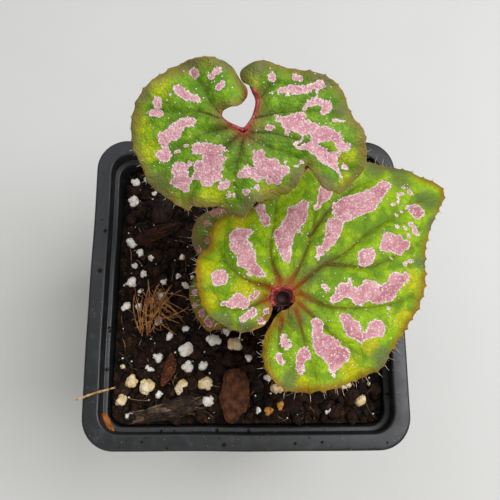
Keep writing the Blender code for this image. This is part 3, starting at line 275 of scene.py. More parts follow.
LEAVES = {
    "a": dict(
        place=(-1.0, 25.3, 133.0), turn=(0.0, 17.0, -91.0), outline=OUTLINE_A, veins=VEINS_A,
        blotches=BLOTCHES_A, yellow=YELLOW_A, olive=OLIVE_A, palette="shaded",
        reach=(26.0, 16.0, 26.0), hang=(9.0, 0.5, 3.0), wave=1.2, waves=9, phase=0.4,
        folds=[(11.5, 18.6, 4.5, 1.6), (11.0, 11.4, 4.0, -1.4), (-12.4, 2.6, 3.5, 0.9), (14.6, -9.4, 1.9, 0.6),
               (14.8, -12.8, 1.9, -0.5)],
        foot=(-1.4, 22.6, 84.0), foot_lean=(0.05, 0.42, 1.0), stalk=(1.9, 1.4, 1.6), stalk_shift=1.0,
        vein_width=0.27, margin=2.0, tooth=0.26, smooth_within=13.0, sinus_red=(9.4, 5.0), curl=[],
        grow=0.1, hair=(0.4, 1.2)),
    "b": dict(
        place=(8.6, -7.1, 111.0), turn=(0.0, 4.0, 31.0), outline=OUTLINE_B, veins=VEINS_B,
        blotches=BLOTCHES_B, yellow=YELLOW_B, olive=OLIVE_B, palette="sunny",
        reach=(50.0, 16.0, 26.0), hang=(6.0, 0.5, 3.5), wave=1.2, waves=11, phase=1.2,
        folds=[(-0.6, -5.4, 3.2, 1.6), (-13.0, 18.0, 5.0, -1.0)],
        foot=(2.4, -0.4, 85.0), foot_lean=(0.25, -0.1, 1.0), stalk=(2.0, 1.5, 2.0), stalk_shift=0.0,
        vein_width=0.56, margin=1.6, tooth=0.5, smooth_within=9.0, sinus_red=(4.6, 4.6),
        curl=[(0.6, -3.2, 2.0), (-2.4, -3.3, 2.4), (-5.4, -4.0, 2.2)], grow=0.15, hair=(0.6, 1.9)),
    "c": dict(
        place=(-3.4, 12.4, 96.5), turn=(4.0, 8.0, 186.0), outline=OUTLINE_C, veins=None,
        blotches=BLOTCHES_C, yellow=[], olive=[(10.0, -7.0, 3.0), (10.5, 2.0, 2.6), (-4.0, 7.0, 3.0)],
        palette="young_rosy",
        reach=(14.0, 8.0, 10.0), hang=(2.0, 0.5, 1.6), wave=0.6, waves=7, phase=0.0,
        folds=[], foot=(-3.6, 11.4, 84.8), foot_lean=(-0.3, 0.1, 1.0), stalk=(1.5, 1.1, 1.2),
        stalk_shift=0.8, young=(12.0, 9.5, 6.0), vein_width=0.22, margin=1.6, tooth=0.4, smooth_within=6.0, sinus_red=(2.6, 2.6), curl=[],
        grow=0.0, hair=(0.5, 1.5)),
    "d": dict(
        place=(-7.0, -3.6, 90.5), turn=(-6.0, 14.0, 246.0), outline=None, veins=None,
        blotches=BLOTCHES_D, yellow=[(9.4, 1.0, 2.2)], olive=[(2.0, -6.0, 2.4), (3.0, 6.0, 3.0)],
        palette="young_olive",
        reach=(12.0, 6.0, 8.0), hang=(1.4, 0.4, 1.8), wave=0.5, waves=5, phase=0.8,
        folds=[], foot=(-2.8, 1.4, 84.4), foot_lean=(-0.7, -0.3, 1.0), stalk=(1.2, 0.95, 1.1),
        stalk_shift=0.8, young=(10.5, 9.0, 4.5), vein_width=0.18, margin=1.2, tooth=0.4, smooth_within=6.0, sinus_red=(2.4, 2.4), curl=[],
        grow=0.0, hair=(0.5, 1.5)),
}
STALK_TOP_B = -1.2

# Colours of a blade: the greens between the veins, margin, veins and blotches
PALETTES = {
    "shaded": dict(deep="527C0C", fresh="80A81A", yellow="B8C008", olive="6E6A3E", valley="404E14", margin="7E7230",
                   rim="948042", rim_red="84502C", vein="40400E", warm="5C4214", warm_reach=3.0,
                   blotch="DEACB2", blush="C2828C", dusky="B87884", pale="F2E4DE", trim=0.6),
    "sunny": dict(deep="648A00", fresh="9CBE00", yellow="C6BE00", olive="5C6238", valley="4E5A00", margin="8A6608",
                  rim="9E8428", rim_red="8E5214", vein="584006", warm="8C4A04", warm_reach=9.5,
                  blotch="DCA6AA", blush="BA7882", dusky="AC626E", pale="F4E6DE", trim=0.8),
    "young_rosy": dict(deep="5C6E1A", fresh="78901E", yellow="8FA030", olive="75663C", valley="544E18",
                       margin="84663A", rim="8F7E50", rim_red="7A5038", vein="52441C", warm="7A3A1C",
                       warm_reach=3.0, blotch="BC7C74", blush="A0605A", dusky="96544E", pale="CCA296", trim=0.5),
    "young_olive": dict(deep="5C700E", fresh="7C9214", yellow="A0861C", olive="5E5826", valley="4C5010",
                        margin="7C5C1A", rim="8F743A", rim_red="7A4A26", vein="544010", warm="7A3A1C",
                        warm_reach=3.0, blotch="C88A90", blush="B06478", dusky="A85A6C", pale="E4C6BE", trim=0.5),
}

# Loose pieces on the soil
CHIPS = {
    "bark_slab": dict(
        place=(-3.4, -30.0), turn=-3.0, thickness=2.6, finish="bark_brown", grain=80.0,
        outline=[(-3.0, 6.0), (0.6, 7.0), (3.4, 5.0), (4.3, 0.4), (3.8, -4.0), (2.0, -6.0), (0.8, -8.0),
                 (-1.8, -7.8), (-3.2, -4.8), (-4.4, -1.4), (-3.6, 2.4)]),
    "bark_splinter": dict(
        place=(-22.4, -34.6), turn=10.0, thickness=2.0, finish="bark_splintered", grain=0.0,
        outline=[(-10.4, 0.2), (-6.4, 1.2), (-1.8, 1.6), (3.6, 3.2), (8.2, 2.6), (9.4, 0.2), (6.6, -1.8),
                 (1.6, -2.7), (-4.0, -2.3), (-8.2, -1.8), (-7.2, -0.7)]),
    "bark_flake": dict(
        place=(-22.2, -23.4), turn=-14.0, thickness=1.5, finish="bark_red", grain=85.0,
        outline=[(-0.8, 4.8), (1.4, 3.0), (1.9, 0.2), (0.9, -2.8), (-0.9, -5.0), (-1.9, -1.6), (-1.7, 2.0)]),
    "bark_strip": dict(
        place=(-27.0, 17.6), turn=24.0, thickness=2.2, finish="bark_dusky", grain=0.0,
        outline=[(-7.6, 1.4), (-2.0, 2.4), (4.4, 1.9), (7.8, 0.2), (5.4, -1.7), (-1.0, -2.1), (-6.4, -1.5)]),
    "bark_lump": dict(
        place=(-25.4, 25.0), turn=70.0, thickness=3.2, finish="bark_dark", grain=10.0,
        outline=[(-4.6, 1.8), (-0.6, 3.4), (4.2, 2.4), (5.2, -0.8), (1.8, -3.0), (-3.4, -2.6)]),
}
LEDGE_CHIP = dict(place=(-38.6, -38.2), turn=-62.0, thickness=1.3, finish="bark_orange", grain=0.0,
                  outline=[(-3.4, 0.6), (-1.0, 1.3), (2.2, 1.1), (3.6, 0.0), (1.4, -1.2), (-2.4, -1.0)])
LEDGE_HEIGHT = 80.5

# Coir tuft: fibres leave a small core as (azimuth, steepness) in degrees and length
COIR_CORE = (-27.2, -8.8)
COIR_CORE_RADIUS = 1.9
COIR_FIBRES = [(96, 34, 13.0), (76, 40, 12.5), (112, 46, 12.0), (60, 28, 12.0), (44, 22, 12.5), (18, 16, 11.5),
               (2, 24, 10.0), (134, 30, 9.0), (84, 62, 11.0), (-34, 14, 8.5), (208, 20, 6.0)]
# Bundles of stiff fibres beside the core: start x, y, azimuth and its spread, length and count
COIR_BUNDLES = [(-29.2, -12.4, 88.0, 7.0, 14.5, 13), (-26.4, -3.0, -38.0, 11.0, 11.0, 12),
                (-23.6, 0.6, 238.0, 10.0, 11.0, 5), (-22.4, -5.6, 118.0, 14.0, 8.0, 5)]
STRAW_PATH = [(-44.8, -30.8, 85.66), (-41.8, -29.7, 85.66), (-37.6, -28.6, 86.1)]
STRAW_RADIUS = 0.35

# Sockets of Blender's Mix node, which it names alike for each kind of value
SHARE, UNDER, OVER, MIXED = 0, 6, 7, 2


# Numbers and lines

def linear(code):
    """Linear colour for an sRGB hex value."""
    channels = [int(code[i:i + 2], 16) / 255 for i in (0, 2, 4)]
    return tuple(c / 12.92 if c <= 0.04045 else ((c + 0.055) / 1.055) ** 2.4 for c in channels) + (1.0,)


def per_mm(size):
    """Scale of a texture on coordinates in metres whose features are this many millimetres wide."""
    return 1.0 / (size * MM)


def smooth_closed(points, step):
    """Closed smooth curve through the points, sampled at even steps."""
    fine = []
    count = len(points)
    for i in range(count):
        before, start, end, after = (Vector(points[(i + k - 1) % count]) for k in range(4))
        for j in range(16):
            t = j / 16
            fine.append(0.5 * (2 * start + (end - before) * t
                               + (2 * before - 5 * start + 4 * end - after) * t * t
                               + (3 * start - before - 3 * end + after) * t ** 3))
    return even_steps(fine, step)


def even_steps(loop, step):
    """The closed loop sampled at even distances close to step."""
    lengths = [(loop[(i + 1) % len(loop)] - p).length for i, p in enumerate(loop)]
    total = sum(lengths)
    count = round(total / step)
    samples = []
    i = 0
    passed = 0.0
    for k in range(count):
        target = total * k / count
        while passed + lengths[i] < target:
            passed += lengths[i]
            i += 1
        samples.append(loop[i].lerp(loop[(i + 1) % len(loop)], (target - passed) / lengths[i]))
    return samples


def nearest_line(points, line, closed=False):
    """Distance of every point to a line, and how far along it the nearest place is, from 0 to 1."""
    corners = np.array([tuple(p) for p in line], float)
    if closed:
        corners = np.vstack([corners, corners[:1]])
    best = np.full(len(points), 1e9)
    place = np.zeros(len(points))
    for i, (start, end) in enumerate(zip(corners[:-1], corners[1:])):
        along = end - start
        t = np.clip(((points - start) @ along) / max(along @ along, 1e-12), 0.0, 1.0)
        far = np.linalg.norm(points - start - t[:, None] * along, axis=1)
        nearer = far < best
        best[nearer] = far[nearer]
        place[nearer] = (i + t[nearer]) / (len(corners) - 1)
    return best, place


def inside(points, loop):
    """Which of the points lie inside a closed loop."""
    corners = np.array([tuple(p) for p in loop], float)
    found = np.zeros(len(points), bool)
    x, y = points[:, 0], points[:, 1]
    for (ax, ay), (bx, by) in zip(corners, np.roll(corners, 1, axis=0)):
        if ay != by:
            crosses = ((ay > y) != (by > y)) & (x < (bx - ax) * (y - ay) / (by - ay) + ax)
            found ^= crosses
    return found


def soft_step(values, low, high):
    """0 below low, 1 above high and smooth between them."""
    t = np.clip((values - low) / (high - low), 0.0, 1.0)
    return t * t * (3 - 2 * t)


def lumps(points, size, seed):
    """Smooth noise from -1 to 1 at each point, with features of this size."""
    return np.array([noise.noise(Vector((p[0] / size, p[1] / size, p[2] / size if len(p) > 2 else seed)) +
                                 Vector((seed, seed, 0.0))) for p in points])


def filled(loop, step, clearance):
    """Hexagonal grid of points inside a loop and clear of it."""
    corners = np.array([tuple(p) for p in loop], float)
    low, high = corners.min(axis=0), corners.max(axis=0)
    rows = []
    y = low[1]
    row = 0
    while y < high[1]:
        xs = np.arange(low[0] + (0.5 * step if row % 2 else 0.0), high[0], step)
        rows.append(np.column_stack([xs, np.full(len(xs), y)]))
        y += step * 0.866
        row += 1
    points = np.vstack(rows)
    points = points[inside(points, loop)]
    return points[nearest_line(points, loop, closed=True)[0] > clearance]


def triangulate(loop, inner):
    """Points and triangles that fill the closed loop, with corners at the inner points too."""
    corners = [Vector(p[:2]) for p in loop] + [Vector(p) for p in inner]
    edges = [(i, (i + 1) % len(loop)) for i in range(len(loop))]
    points, _, faces, _, _, _ = delaunay_2d_cdt(corners, edges, [], 1, 1e-5)
    return np.array([tuple(p) for p in points]), faces


def rim_edges(faces):
    """Edges used by one face only, in that face's direction."""
    used = set()
    for face in faces:
        for i, a in enumerate(face):
            used.add((a, face[(i + 1) % len(face)]))
    return [(a, b) for a, b in sorted(used) if (b, a) not in used]


def bezier(p0, p1, p2, p3, steps):
    """Points along a cubic curve."""
    points = []
    for i in range(steps + 1):
        t = i / steps
        s = 1 - t
        points.append(p0 * s ** 3 + p1 * 3 * s * s * t + p2 * 3 * s * t * t + p3 * t ** 3)
    return points


def spline(points, steps):
    """Smooth open curve through the points."""
    knots = [Vector(p) for p in points]
    knots = [2 * knots[0] - knots[1]] + knots + [2 * knots[-1] - knots[-2]]
    fine = []
    for i in range(1, len(knots) - 2):
        before, start, end, after = knots[i - 1:i + 3]
        for j in range(steps):
            t = j / steps
            fine.append(0.5 * (2 * start + (end - before) * t
                               + (2 * before - 5 * start + 4 * end - after) * t * t
                               + (3 * start - before - 3 * end + after) * t ** 3))
    return fine + [knots[-2]]


# Meshes

def new_object(name, verts, faces, finishes, smooth=True):
    """Object at the origin from points in millimetres."""
    mesh = bpy.data.meshes.new(name)
    mesh.from_pydata([tuple(c * MM for c in p) for p in verts], [], faces)
    for finish in finishes:
        mesh.materials.append(finish)
    if smooth:
        mesh.shade_smooth()
    obj = bpy.data.objects.new(name, mesh)
    bpy.context.scene.collection.objects.link(obj)
    return obj


def outward(obj):
    """Merges doubled points and turns the faces out."""
    data = bmesh.new()
    data.from_mesh(obj.data)
    bmesh.ops.remove_doubles(data, verts=data.verts, dist=0.0005 * MM)
    bmesh.ops.recalc_face_normals(data, faces=data.faces)
    data.to_mesh(obj.data)
    data.free()
    return obj


def tube(path, radii, sides, twist=0.0, squash=1.0):
    """Points and faces of a closed tube with a ring of its own radius at each point of the path."""
    verts = []
    faces = []
    points = [Vector(p) for p in path]
    side = Vector((1.0, 0.0, 0.0))
    if abs((points[1] - points[0]).normalized().x) > 0.9:
        side = Vector((0.0, 1.0, 0.0))
    for i, point in enumerate(points):
        ahead = (points[min(i + 1, len(points) - 1)] - points[max(i - 1, 0)]).normalized()
        side = (side - ahead * side.dot(ahead)).normalized()
        up = ahead.cross(side)
        for k in range(sides):
            angle = 2 * math.pi * k / sides + twist * i
            verts.append(point + (side * math.cos(angle) + up * math.sin(angle) * squash) * radii[i])
    for i in range(len(points) - 1):
        for k in range(sides):
            a = i * sides + k
            b = i * sides + (k + 1) % sides
            faces.append((a, b, b + sides, a + sides))
    faces.append(tuple(reversed(range(sides))))
    faces.append(tuple(range((len(points) - 1) * sides, len(points) * sides)))
    return verts, faces


def tubes(name, parts, finish):
    """One object from several tubes."""
    verts = []
    faces = []
    for part_verts, part_faces in parts:
        base = len(verts)
        verts.extend(part_verts)
        faces.extend(tuple(base + i for i in face) for face in part_faces)
    return new_object(name, verts, faces, [finish])


def remesh(obj, voxel, smooth_steps):
    """Fuses overlapping forms into one skin and rounds their joints."""
    fuse = obj.modifiers.new("fuse", "REMESH")
    fuse.mode = "VOXEL"
    fuse.voxel_size = voxel * MM
    soften = obj.modifiers.new("soften", "SMOOTH")
    soften.iterations = smooth_steps
    graph = bpy.context.evaluated_depsgraph_get()
    mesh = bpy.data.meshes.new_from_object(obj.evaluated_get(graph), depsgraph=graph)
    obj.modifiers.clear()
    finishes = list(obj.data.materials)
    obj.data = mesh
    mesh.materials.clear()
    for finish in finishes:
        mesh.materials.append(finish)
    mesh.shade_smooth()
    return obj


def push(obj, offsets):
    """Moves each point along its normal by so many millimetres."""
    mesh = obj.data
    normals = np.array([tuple(v.normal) for v in mesh.vertices])
    places = np.array([tuple(v.co) for v in mesh.vertices])
    places += normals * (np.asarray(offsets) * MM)[:, None]
    mesh.vertices.foreach_set("co", places.ravel())
    mesh.update()


def places_mm(obj):
    return np.array([tuple(v.co) for v in obj.data.vertices]) / MM


def attribute(mesh, name, values):
    """Number for each point of a mesh, read by its material."""
    held = mesh.attributes.new(name, "FLOAT", "POINT")
    held.data.foreach_set("value", np.asarray(values, float))


def vector_attribute(mesh, name, values):
    held = mesh.attributes.new(name, "FLOAT_VECTOR", "POINT")
    held.data.foreach_set("vector", np.asarray(values, float).ravel())


def place_piece(obj, slot, *nodes):
    """Carries a finished piece with the part and has it stand for its solids."""
    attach(obj, "root")
    if nodes:
        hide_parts(*nodes)


# Node trees

def add(tree, kind, inputs=None, **settings):
    """Node with its settings, whose sockets are set to a value or linked to another node's output."""
    node = tree.nodes.new(kind)
    for name, value in settings.items():
        setattr(node, name, value)
    for key, value in (inputs or {}).items():
        if isinstance(value, bpy.types.NodeSocket):
            tree.links.new(value, node.inputs[key])
        else:
            node.inputs[key].default_value = value
    return node


def new_material(name):
    """Empty material with its output and Principled shader."""
    made = bpy.data.materials.new(name)
    made.use_nodes = True
    tree = made.node_tree
    shader = tree.nodes["Principled BSDF"]
    place = add(tree, "ShaderNodeTexCoord").outputs["Object"]
    return made, tree, shader, place


def blend(tree, share, under, over, kind="MIX"):
    """Colour from two, by a share that is a number or another node's output."""
    made = add(tree, "ShaderNodeMix", data_type="RGBA", blend_type=kind)
    for socket, value in ((SHARE, share), (UNDER, under), (OVER, over)):
        if isinstance(value, bpy.types.NodeSocket):
            tree.links.new(value, made.inputs[socket])
        elif isinstance(value, str):
            made.inputs[socket].default_value = linear(value)
        else:
            made.inputs[socket].default_value = value
    return made.outputs[MIXED]


def ramp(tree, value, low, high, at_low=0.0, at_high=1.0):
    """Value carried smoothly from one range to another."""
    return add(tree, "ShaderNodeMapRange", {"Value": value, "From Min": low, "From Max": high,
                                            "To Min": at_low, "To Max": at_high},
               interpolation_type="SMOOTHSTEP").outputs["Result"]


def math_node(tree, operation, *values):
    inputs = {i: value for i, value in enumerate(values)}
    return add(tree, "ShaderNodeMath", inputs, operation=operation).outputs[0]


def mottle(tree, place, size, detail=3.0, roughness=0.55):
    """Noise with features of this many millimetres."""
    return add(tree, "ShaderNodeTexNoise", {"Vector": place, "Scale": per_mm(size), "Detail": detail,
                                            "Roughness": roughness}).outputs["Fac"]


def cells(tree, place, size, randomness=1.0):
    return add(tree, "ShaderNodeTexVoronoi", {"Vector": place, "Scale": per_mm(size), "Randomness": randomness})


def relief(tree, shader, height, depth_mm):
    """Bump of this depth on the shader."""
    bump = add(tree, "ShaderNodeBump", {"Height": height, "Strength": 1.0, "Distance": depth_mm * MM})
    tree.links.new(bump.outputs["Normal"], shader.inputs["Normal"])


# Materials

def leaf_upper(name, colours):
    """Living begonia leaf, upper face: fleshy cells between sunken veins, with rough pink blotches."""
    made, tree, shader, place = new_material(name)
    read = {key: add(tree, "ShaderNodeAttribute", attribute_name=key).outputs["Fac"]
            for key in ("blotch", "vein", "net", "fade", "margin", "yellow", "olive", "sinus", "heart")}
    ray = add(tree, "ShaderNodeAttribute", attribute_name="ray").outputs["Vector"]
    broad = mottle(tree, place, 9.0, 2.0)
    patch = mottle(tree, place, 2.4)
    grit = mottle(tree, place, 0.45, 2.0)
    streak = add(tree, "ShaderNodeTexNoise", {"Vector": ray, "Scale": 1.0, "Detail": 3.0}).outputs["Fac"]
    warped = add(tree, "ShaderNodeMix", {0: 0.0016, 4: place,
                                         5: add(tree, "ShaderNodeTexNoise", {"Vector": place,
                                                "Scale": per_mm(1.5)}).outputs["Color"]},
                 data_type="VECTOR").outputs[1]
    field = cells(tree, warped, 1.9)
    walls = add(tree, "ShaderNodeTexVoronoi", {"Vector": warped, "Scale": per_mm(1.9)},
                feature="DISTANCE_TO_EDGE").outputs["Distance"]

    tone = math_node(tree, "ADD", math_node(tree, "MULTIPLY", broad, 0.8),
                     math_node(tree, "MULTIPLY", field.outputs["Color"], 0.34))
    tone = math_node(tree, "ADD", tone, math_node(tree, "MULTIPLY", read["net"], 0.05))
    green = blend(tree, ramp(tree, tone, 0.44, 0.78), colours["deep"], colours["fresh"])
    wash = math_node(tree, "ADD", read["yellow"], math_node(tree, "MULTIPLY", patch, 0.6))
    wash = math_node(tree, "ADD", wash, math_node(tree, "MULTIPLY", field.outputs["Color"], 0.3))
    green = blend(tree, ramp(tree, wash, 0.5, 1.25, 0.0, 0.92), green, colours["yellow"])
    dusk = math_node(tree, "ADD", read["olive"], math_node(tree, "MULTIPLY", patch, 0.6))
    green = blend(tree, ramp(tree, dusk, 0.45, 1.15, 0.0, 0.85), green, colours["olive"])
    green = blend(tree, ramp(tree, walls, 0.02, 0.2, 0.36, 0.0), green, colours["deep"])
    green = blend(tree, ramp(tree, grit, 0.42, 0.68, 0.0, 0.42), green, colours["deep"])

    valley = math_node(tree, "SUBTRACT", 1.0, math_node(tree, "MULTIPLY", read["fade"], 0.75))
    wobbly = math_node(tree, "ADD", read["vein"], math_node(tree, "MULTIPLY", patch, 0.8))
    # Painted shade: the green darkens to olive towards the leaf's heart.
    core = math_node(tree, "ADD", read["heart"], math_node(tree, "MULTIPLY", patch, 4.0))
    green = blend(tree, ramp(tree, core, 3.0, 10.5, 0.55, 0.0), green, colours["olive"])
    # Painted shade: darker green in the valleys beside the main veins, fading out along each vein.
    shade = math_node(tree, "MULTIPLY", ramp(tree, wobbly, 0.2, 2.1, 0.66, 0.0), valley)
    green = blend(tree, shade, green, colours["valley"])
    ragged_margin = math_node(tree, "ADD", read["margin"], math_node(tree, "MULTIPLY", broad, -4.4))
    edging = blend(tree, ramp(tree, read["olive"], 0.05, 0.5, 0.0, 0.9), colours["margin"], colours["olive"])
    green = blend(tree, ramp(tree, ragged_margin, -2.0, 1.1, 0.95, 0.0), green, edging)
    net = ramp(tree, math_node(tree, "ADD", read["net"], math_node(tree, "MULTIPLY", grit, 0.2)), 0.08, 0.36,
               0.42, 0.0)
    green = blend(tree, net, green, colours["valley"])
    line = math_node(tree, "MULTIPLY", ramp(tree, read["vein"], -0.05, 0.16, 0.9, 0.0), valley)
    green = blend(tree, line, green, colours["vein"])
    warm_line = math_node(tree, "MULTIPLY", ramp(tree, read["heart"], 2.0, colours["warm_reach"], 1.0, 0.0),
                          ramp(tree, wobbly, 0.1, 1.6, 0.92, 0.15))
    green = blend(tree, warm_line, green, colours["warm"])

    pink = blend(tree, ramp(tree, patch, 0.42, 0.66, 0.0, 0.7), colours["blotch"], colours["blush"])
    pink = blend(tree, ramp(tree, broad, 0.5, 0.66, 0.0, 0.75), pink, colours["dusky"])
    grains = cells(tree, place, 0.46)
    spark = ramp(tree, grains.outputs["Color"], 0.5, 0.9, 0.0, 0.55)
    pink = blend(tree, spark, pink, colours["pale"])
    pink = blend(tree, ramp(tree, grains.outputs["Distance"], 0.34, 0.62, 0.0, 0.4), pink, colours["dusky"])
    pink = blend(tree, ramp(tree, grit, 0.52, 0.7, 0.0, 0.55), pink, colours["blush"])
    edge = math_node(tree, "ADD", read["blotch"], math_node(tree, "MULTIPLY", patch, 1.9))
    edge = math_node(tree, "ADD", edge, math_node(tree, "MULTIPLY", streak, 1.7))
    edge = math_node(tree, "ADD", edge, math_node(tree, "MULTIPLY", grit, 1.1))
    edge = math_node(tree, "SUBTRACT", edge, 2.3)
    pink = blend(tree, ramp(tree, edge, -0.42, -0.1, 0.0, colours["trim"]), pink, colours["pale"])
    specks = cells(tree, place, 0.95)
    rarity = math_node(tree, "ADD", math_node(tree, "MULTIPLY", read["blotch"], 0.1), 0.5)
    chosen = math_node(tree, "GREATER_THAN", specks.outputs["Color"], rarity)
    dot = math_node(tree, "MULTIPLY", ramp(tree, specks.outputs["Distance"], 0.13, 0.22, 1.0, 0.0), chosen)
    marked = math_node(tree, "MAXIMUM", ramp(tree, edge, -0.06, 0.05, 1.0, 0.0),
                       math_node(tree, "MULTIPLY", dot, ramp(tree, read["blotch"], 0.8, 4.6, 1.0, 0.0)))
    pink = blend(tree, math_node(tree, "MULTIPLY", dot, 0.9), pink, colours["pale"])
    colour = blend(tree, marked, green, pink)

    rim = blend(tree, ramp(tree, patch, 0.42, 0.62), colours["rim"], colours["rim_red"])
    colour = blend(tree, ramp(tree, read["margin"], 0.02, 0.28, 0.85, 0.0), colour, rim)
    crimson = blend(tree, ramp(tree, patch, 0.35, 0.7), "A5342C", "7A1C20")
    colour = blend(tree, read["sinus"], colour, crimson)
    tree.links.new(colour, shader.inputs["Base Color"])

    tree.links.new(ramp(tree, grit, 0.2, 0.8, 0.36, 0.58), shader.inputs["Roughness"])
    shader.inputs["Subsurface Weight"].default_value = 0.06
    shader.inputs["Subsurface Radius"].default_value = (0.7, 0.8, 0.1)
    shader.inputs["Subsurface Scale"].default_value = 0.0005
    shader.inputs["Specular IOR Level"].default_value = 0.22
    skin = math_node(tree, "MULTIPLY", grains.outputs["Distance"], -0.8)
    skin = math_node(tree, "ADD", skin, math_node(tree, "MULTIPLY", patch, 0.8))
    skin = math_node(tree, "ADD", skin, math_node(tree, "MULTIPLY", walls, 1.2))
    skin = math_node(tree, "ADD", skin, math_node(tree, "MULTIPLY", marked, math_node(tree, "MULTIPLY", grit, 1.4)))
    relief(tree, shader, skin, 0.2)
    return made


def leaf_under():
    """Begonia leaf, lower face: crimson flesh with paler, raised veins."""
    made, tree, shader, place = new_material("leaf_underside")
    net = add(tree, "ShaderNodeAttribute", attribute_name="net").outputs["Fac"]
    vein = add(tree, "ShaderNodeAttribute", attribute_name="vein").outputs["Fac"]
    patch = mottle(tree, place, 2.6)
    grit = mottle(tree, place, 0.4, 2.0)
    colour = blend(tree, ramp(tree, patch, 0.3, 0.7), "7A1426", "9E2A3A")
    colour = blend(tree, ramp(tree, grit, 0.4, 0.75, 0.0, 0.4), colour, "5F5A2A")
    colour = blend(tree, ramp(tree, net, 0.05, 0.4, 0.45, 0.0), colour, "B4665A")
    colour = blend(tree, ramp(tree, vein, 0.0, 0.6, 0.85, 0.0), colour, "C27C62")
    tree.links.new(colour, shader.inputs["Base Color"])
    shader.inputs["Roughness"].default_value = 0.5
    shader.inputs["Subsurface Weight"].default_value = 0.1
    shader.inputs["Subsurface Scale"].default_value = 0.0005
    relief(tree, shader, grit, 0.06)
    return made


def stalk_skin():
    """Begonia stalk: watery red skin with fine pale streaks along it."""
    made, tree, shader, place = new_material("stalk_skin")
    stretched = add(tree, "ShaderNodeMapping", {"Vector": place, "Scale": (1.0, 1.0, 0.14)}).outputs["Vector"]
    streak = mottle(tree, stretched, 0.45)
    broad = mottle(tree, place, 3.0)
    colour = blend(tree, ramp(tree, broad, 0.3, 0.7), "6E1A12", "A2412C")
    colour = blend(tree, ramp(tree, streak, 0.5, 0.72, 0.0, 0.7), colour, "C98A6A")
    tree.links.new(colour, shader.inputs["Base Color"])
    shader.inputs["Roughness"].default_value = 0.38
    shader.inputs["Subsurface Weight"].default_value = 0.15
    shader.inputs["Subsurface Scale"].default_value = 0.0006
    relief(tree, shader, streak, 0.1)
    return made


def bare_vein_skin():
    """Bare vein tissue at a leaf's heart: watery crimson, with painted highlights on its ridges."""
    made, tree, shader, place = new_material("bare_vein_skin")
    colour = blend(tree, ramp(tree, mottle(tree, place, 1.6), 0.3, 0.7), "6E1216", "A63A36")
    # Painted highlight: paler pink where the same fine noise raises the bump.
    colour = blend(tree, ramp(tree, mottle(tree, place, 0.4), 0.56, 0.74, 0.0, 0.6), colour, "D08A7C")
    tree.links.new(colour, shader.inputs["Base Color"])
    shader.inputs["Roughness"].default_value = 0.36
    relief(tree, shader, mottle(tree, place, 0.4), 0.08)
    return made


def stalk_hollow_painted_shade():
    """Painted shade for the hollow at a stalk's top: dark brown, with crumbly bumps."""
    made, tree, shader, place = new_material("stalk_hollow_painted_shade")
    colour = blend(tree, ramp(tree, mottle(tree, place, 0.7), 0.35, 0.65), "120504", "40160E")
    tree.links.new(colour, shader.inputs["Base Color"])
    shader.inputs["Roughness"].default_value = 0.5
    relief(tree, shader, mottle(tree, place, 0.3), 0.2)
    return made


def hair_finish():
    """Plant hair: clear cells that catch the light as white threads."""
    made, tree, shader, place = new_material("plant_hair")
    colour = blend(tree, mottle(tree, place, 2.0), "F2EEE4", "D9C4B4")
    tree.links.new(colour, shader.inputs["Base Color"])
    shader.inputs["Roughness"].default_value = 0.3
    return made


def rhizome_skin():
    """Creeping stem: corky brown skin with leaf scars and reddish green growth."""
    made, tree, shader, place = new_material("rhizome_skin")
    broad = mottle(tree, place, 3.2)
    grit = mottle(tree, place, 0.5)
    cork = cells(tree, place, 0.8)
    colour = blend(tree, ramp(tree, broad, 0.35, 0.65), "4A2C1A", "7C5632")
    colour = blend(tree, ramp(tree, grit, 0.5, 0.72, 0.0, 0.6), colour, "8F8A4A")
    colour = blend(tree, ramp(tree, cork.outputs["Distance"], 0.3, 0.7, 0.0, 0.55), colour, "2C1810")
    tree.links.new(colour, shader.inputs["Base Color"])
    shader.inputs["Roughness"].default_value = 0.68
    relief(tree, shader, math_node(tree, "ADD", grit, cork.outputs["Distance"]), 0.25)
    return made


def soil_finish():
    """Damp peat and bark compost: near black with brown crumbs and fine fibres."""
    made, tree, shader, place = new_material("peat_compost")
    broad = mottle(tree, place, 6.0)
    crumb = cells(tree, place, 1.1)
    grit = mottle(tree, place, 0.35)
    colour = blend(tree, ramp(tree, broad, 0.42, 0.66), "0B0603", "28160A")
    colour = blend(tree, ramp(tree, crumb.outputs["Color"], 0.7, 0.9, 0.0, 0.7), colour, "482810")
    colour = blend(tree, ramp(tree, grit, 0.62, 0.8, 0.0, 0.45), colour, "704626")
    # Painted shade: near black where the fine bump sinks, in the hollows between crumbs.
    colour = blend(tree, ramp(tree, grit, 0.25, 0.48, 0.85, 0.0), colour, "050302")
    tree.links.new(colour, shader.inputs["Base Color"])
    tree.links.new(ramp(tree, grit, 0.35, 0.65, 0.5, 0.95), shader.inputs["Roughness"])
    shader.inputs["Specular IOR Level"].default_value = 0.2
    relief(tree, shader, math_node(tree, "ADD", grit, crumb.outputs["Distance"]), 0.3)
    return made


def perlite_finish(name, light, dark, dirt):
    """Expanded perlite: chalky foam with small pits and peat in its hollows."""
    made, tree, shader, place = new_material(name)
    broad = mottle(tree, place, 1.6)
    pits = cells(tree, place, 0.42)
    colour = blend(tree, ramp(tree, broad, 0.35, 0.65), light, dark)
    colour = blend(tree, ramp(tree, pits.outputs["Distance"], 0.12, 0.34, 0.6, 0.0), colour, dirt)
    tree.links.new(colour, shader.inputs["Base Color"])
    shader.inputs["Roughness"].default_value = 0.9
    shader.inputs["Subsurface Weight"].default_value = 0.1
    shader.inputs["Subsurface Scale"].default_value = 0.0005
    relief(tree, shader, pits.outputs["Distance"], 0.22)
    return made


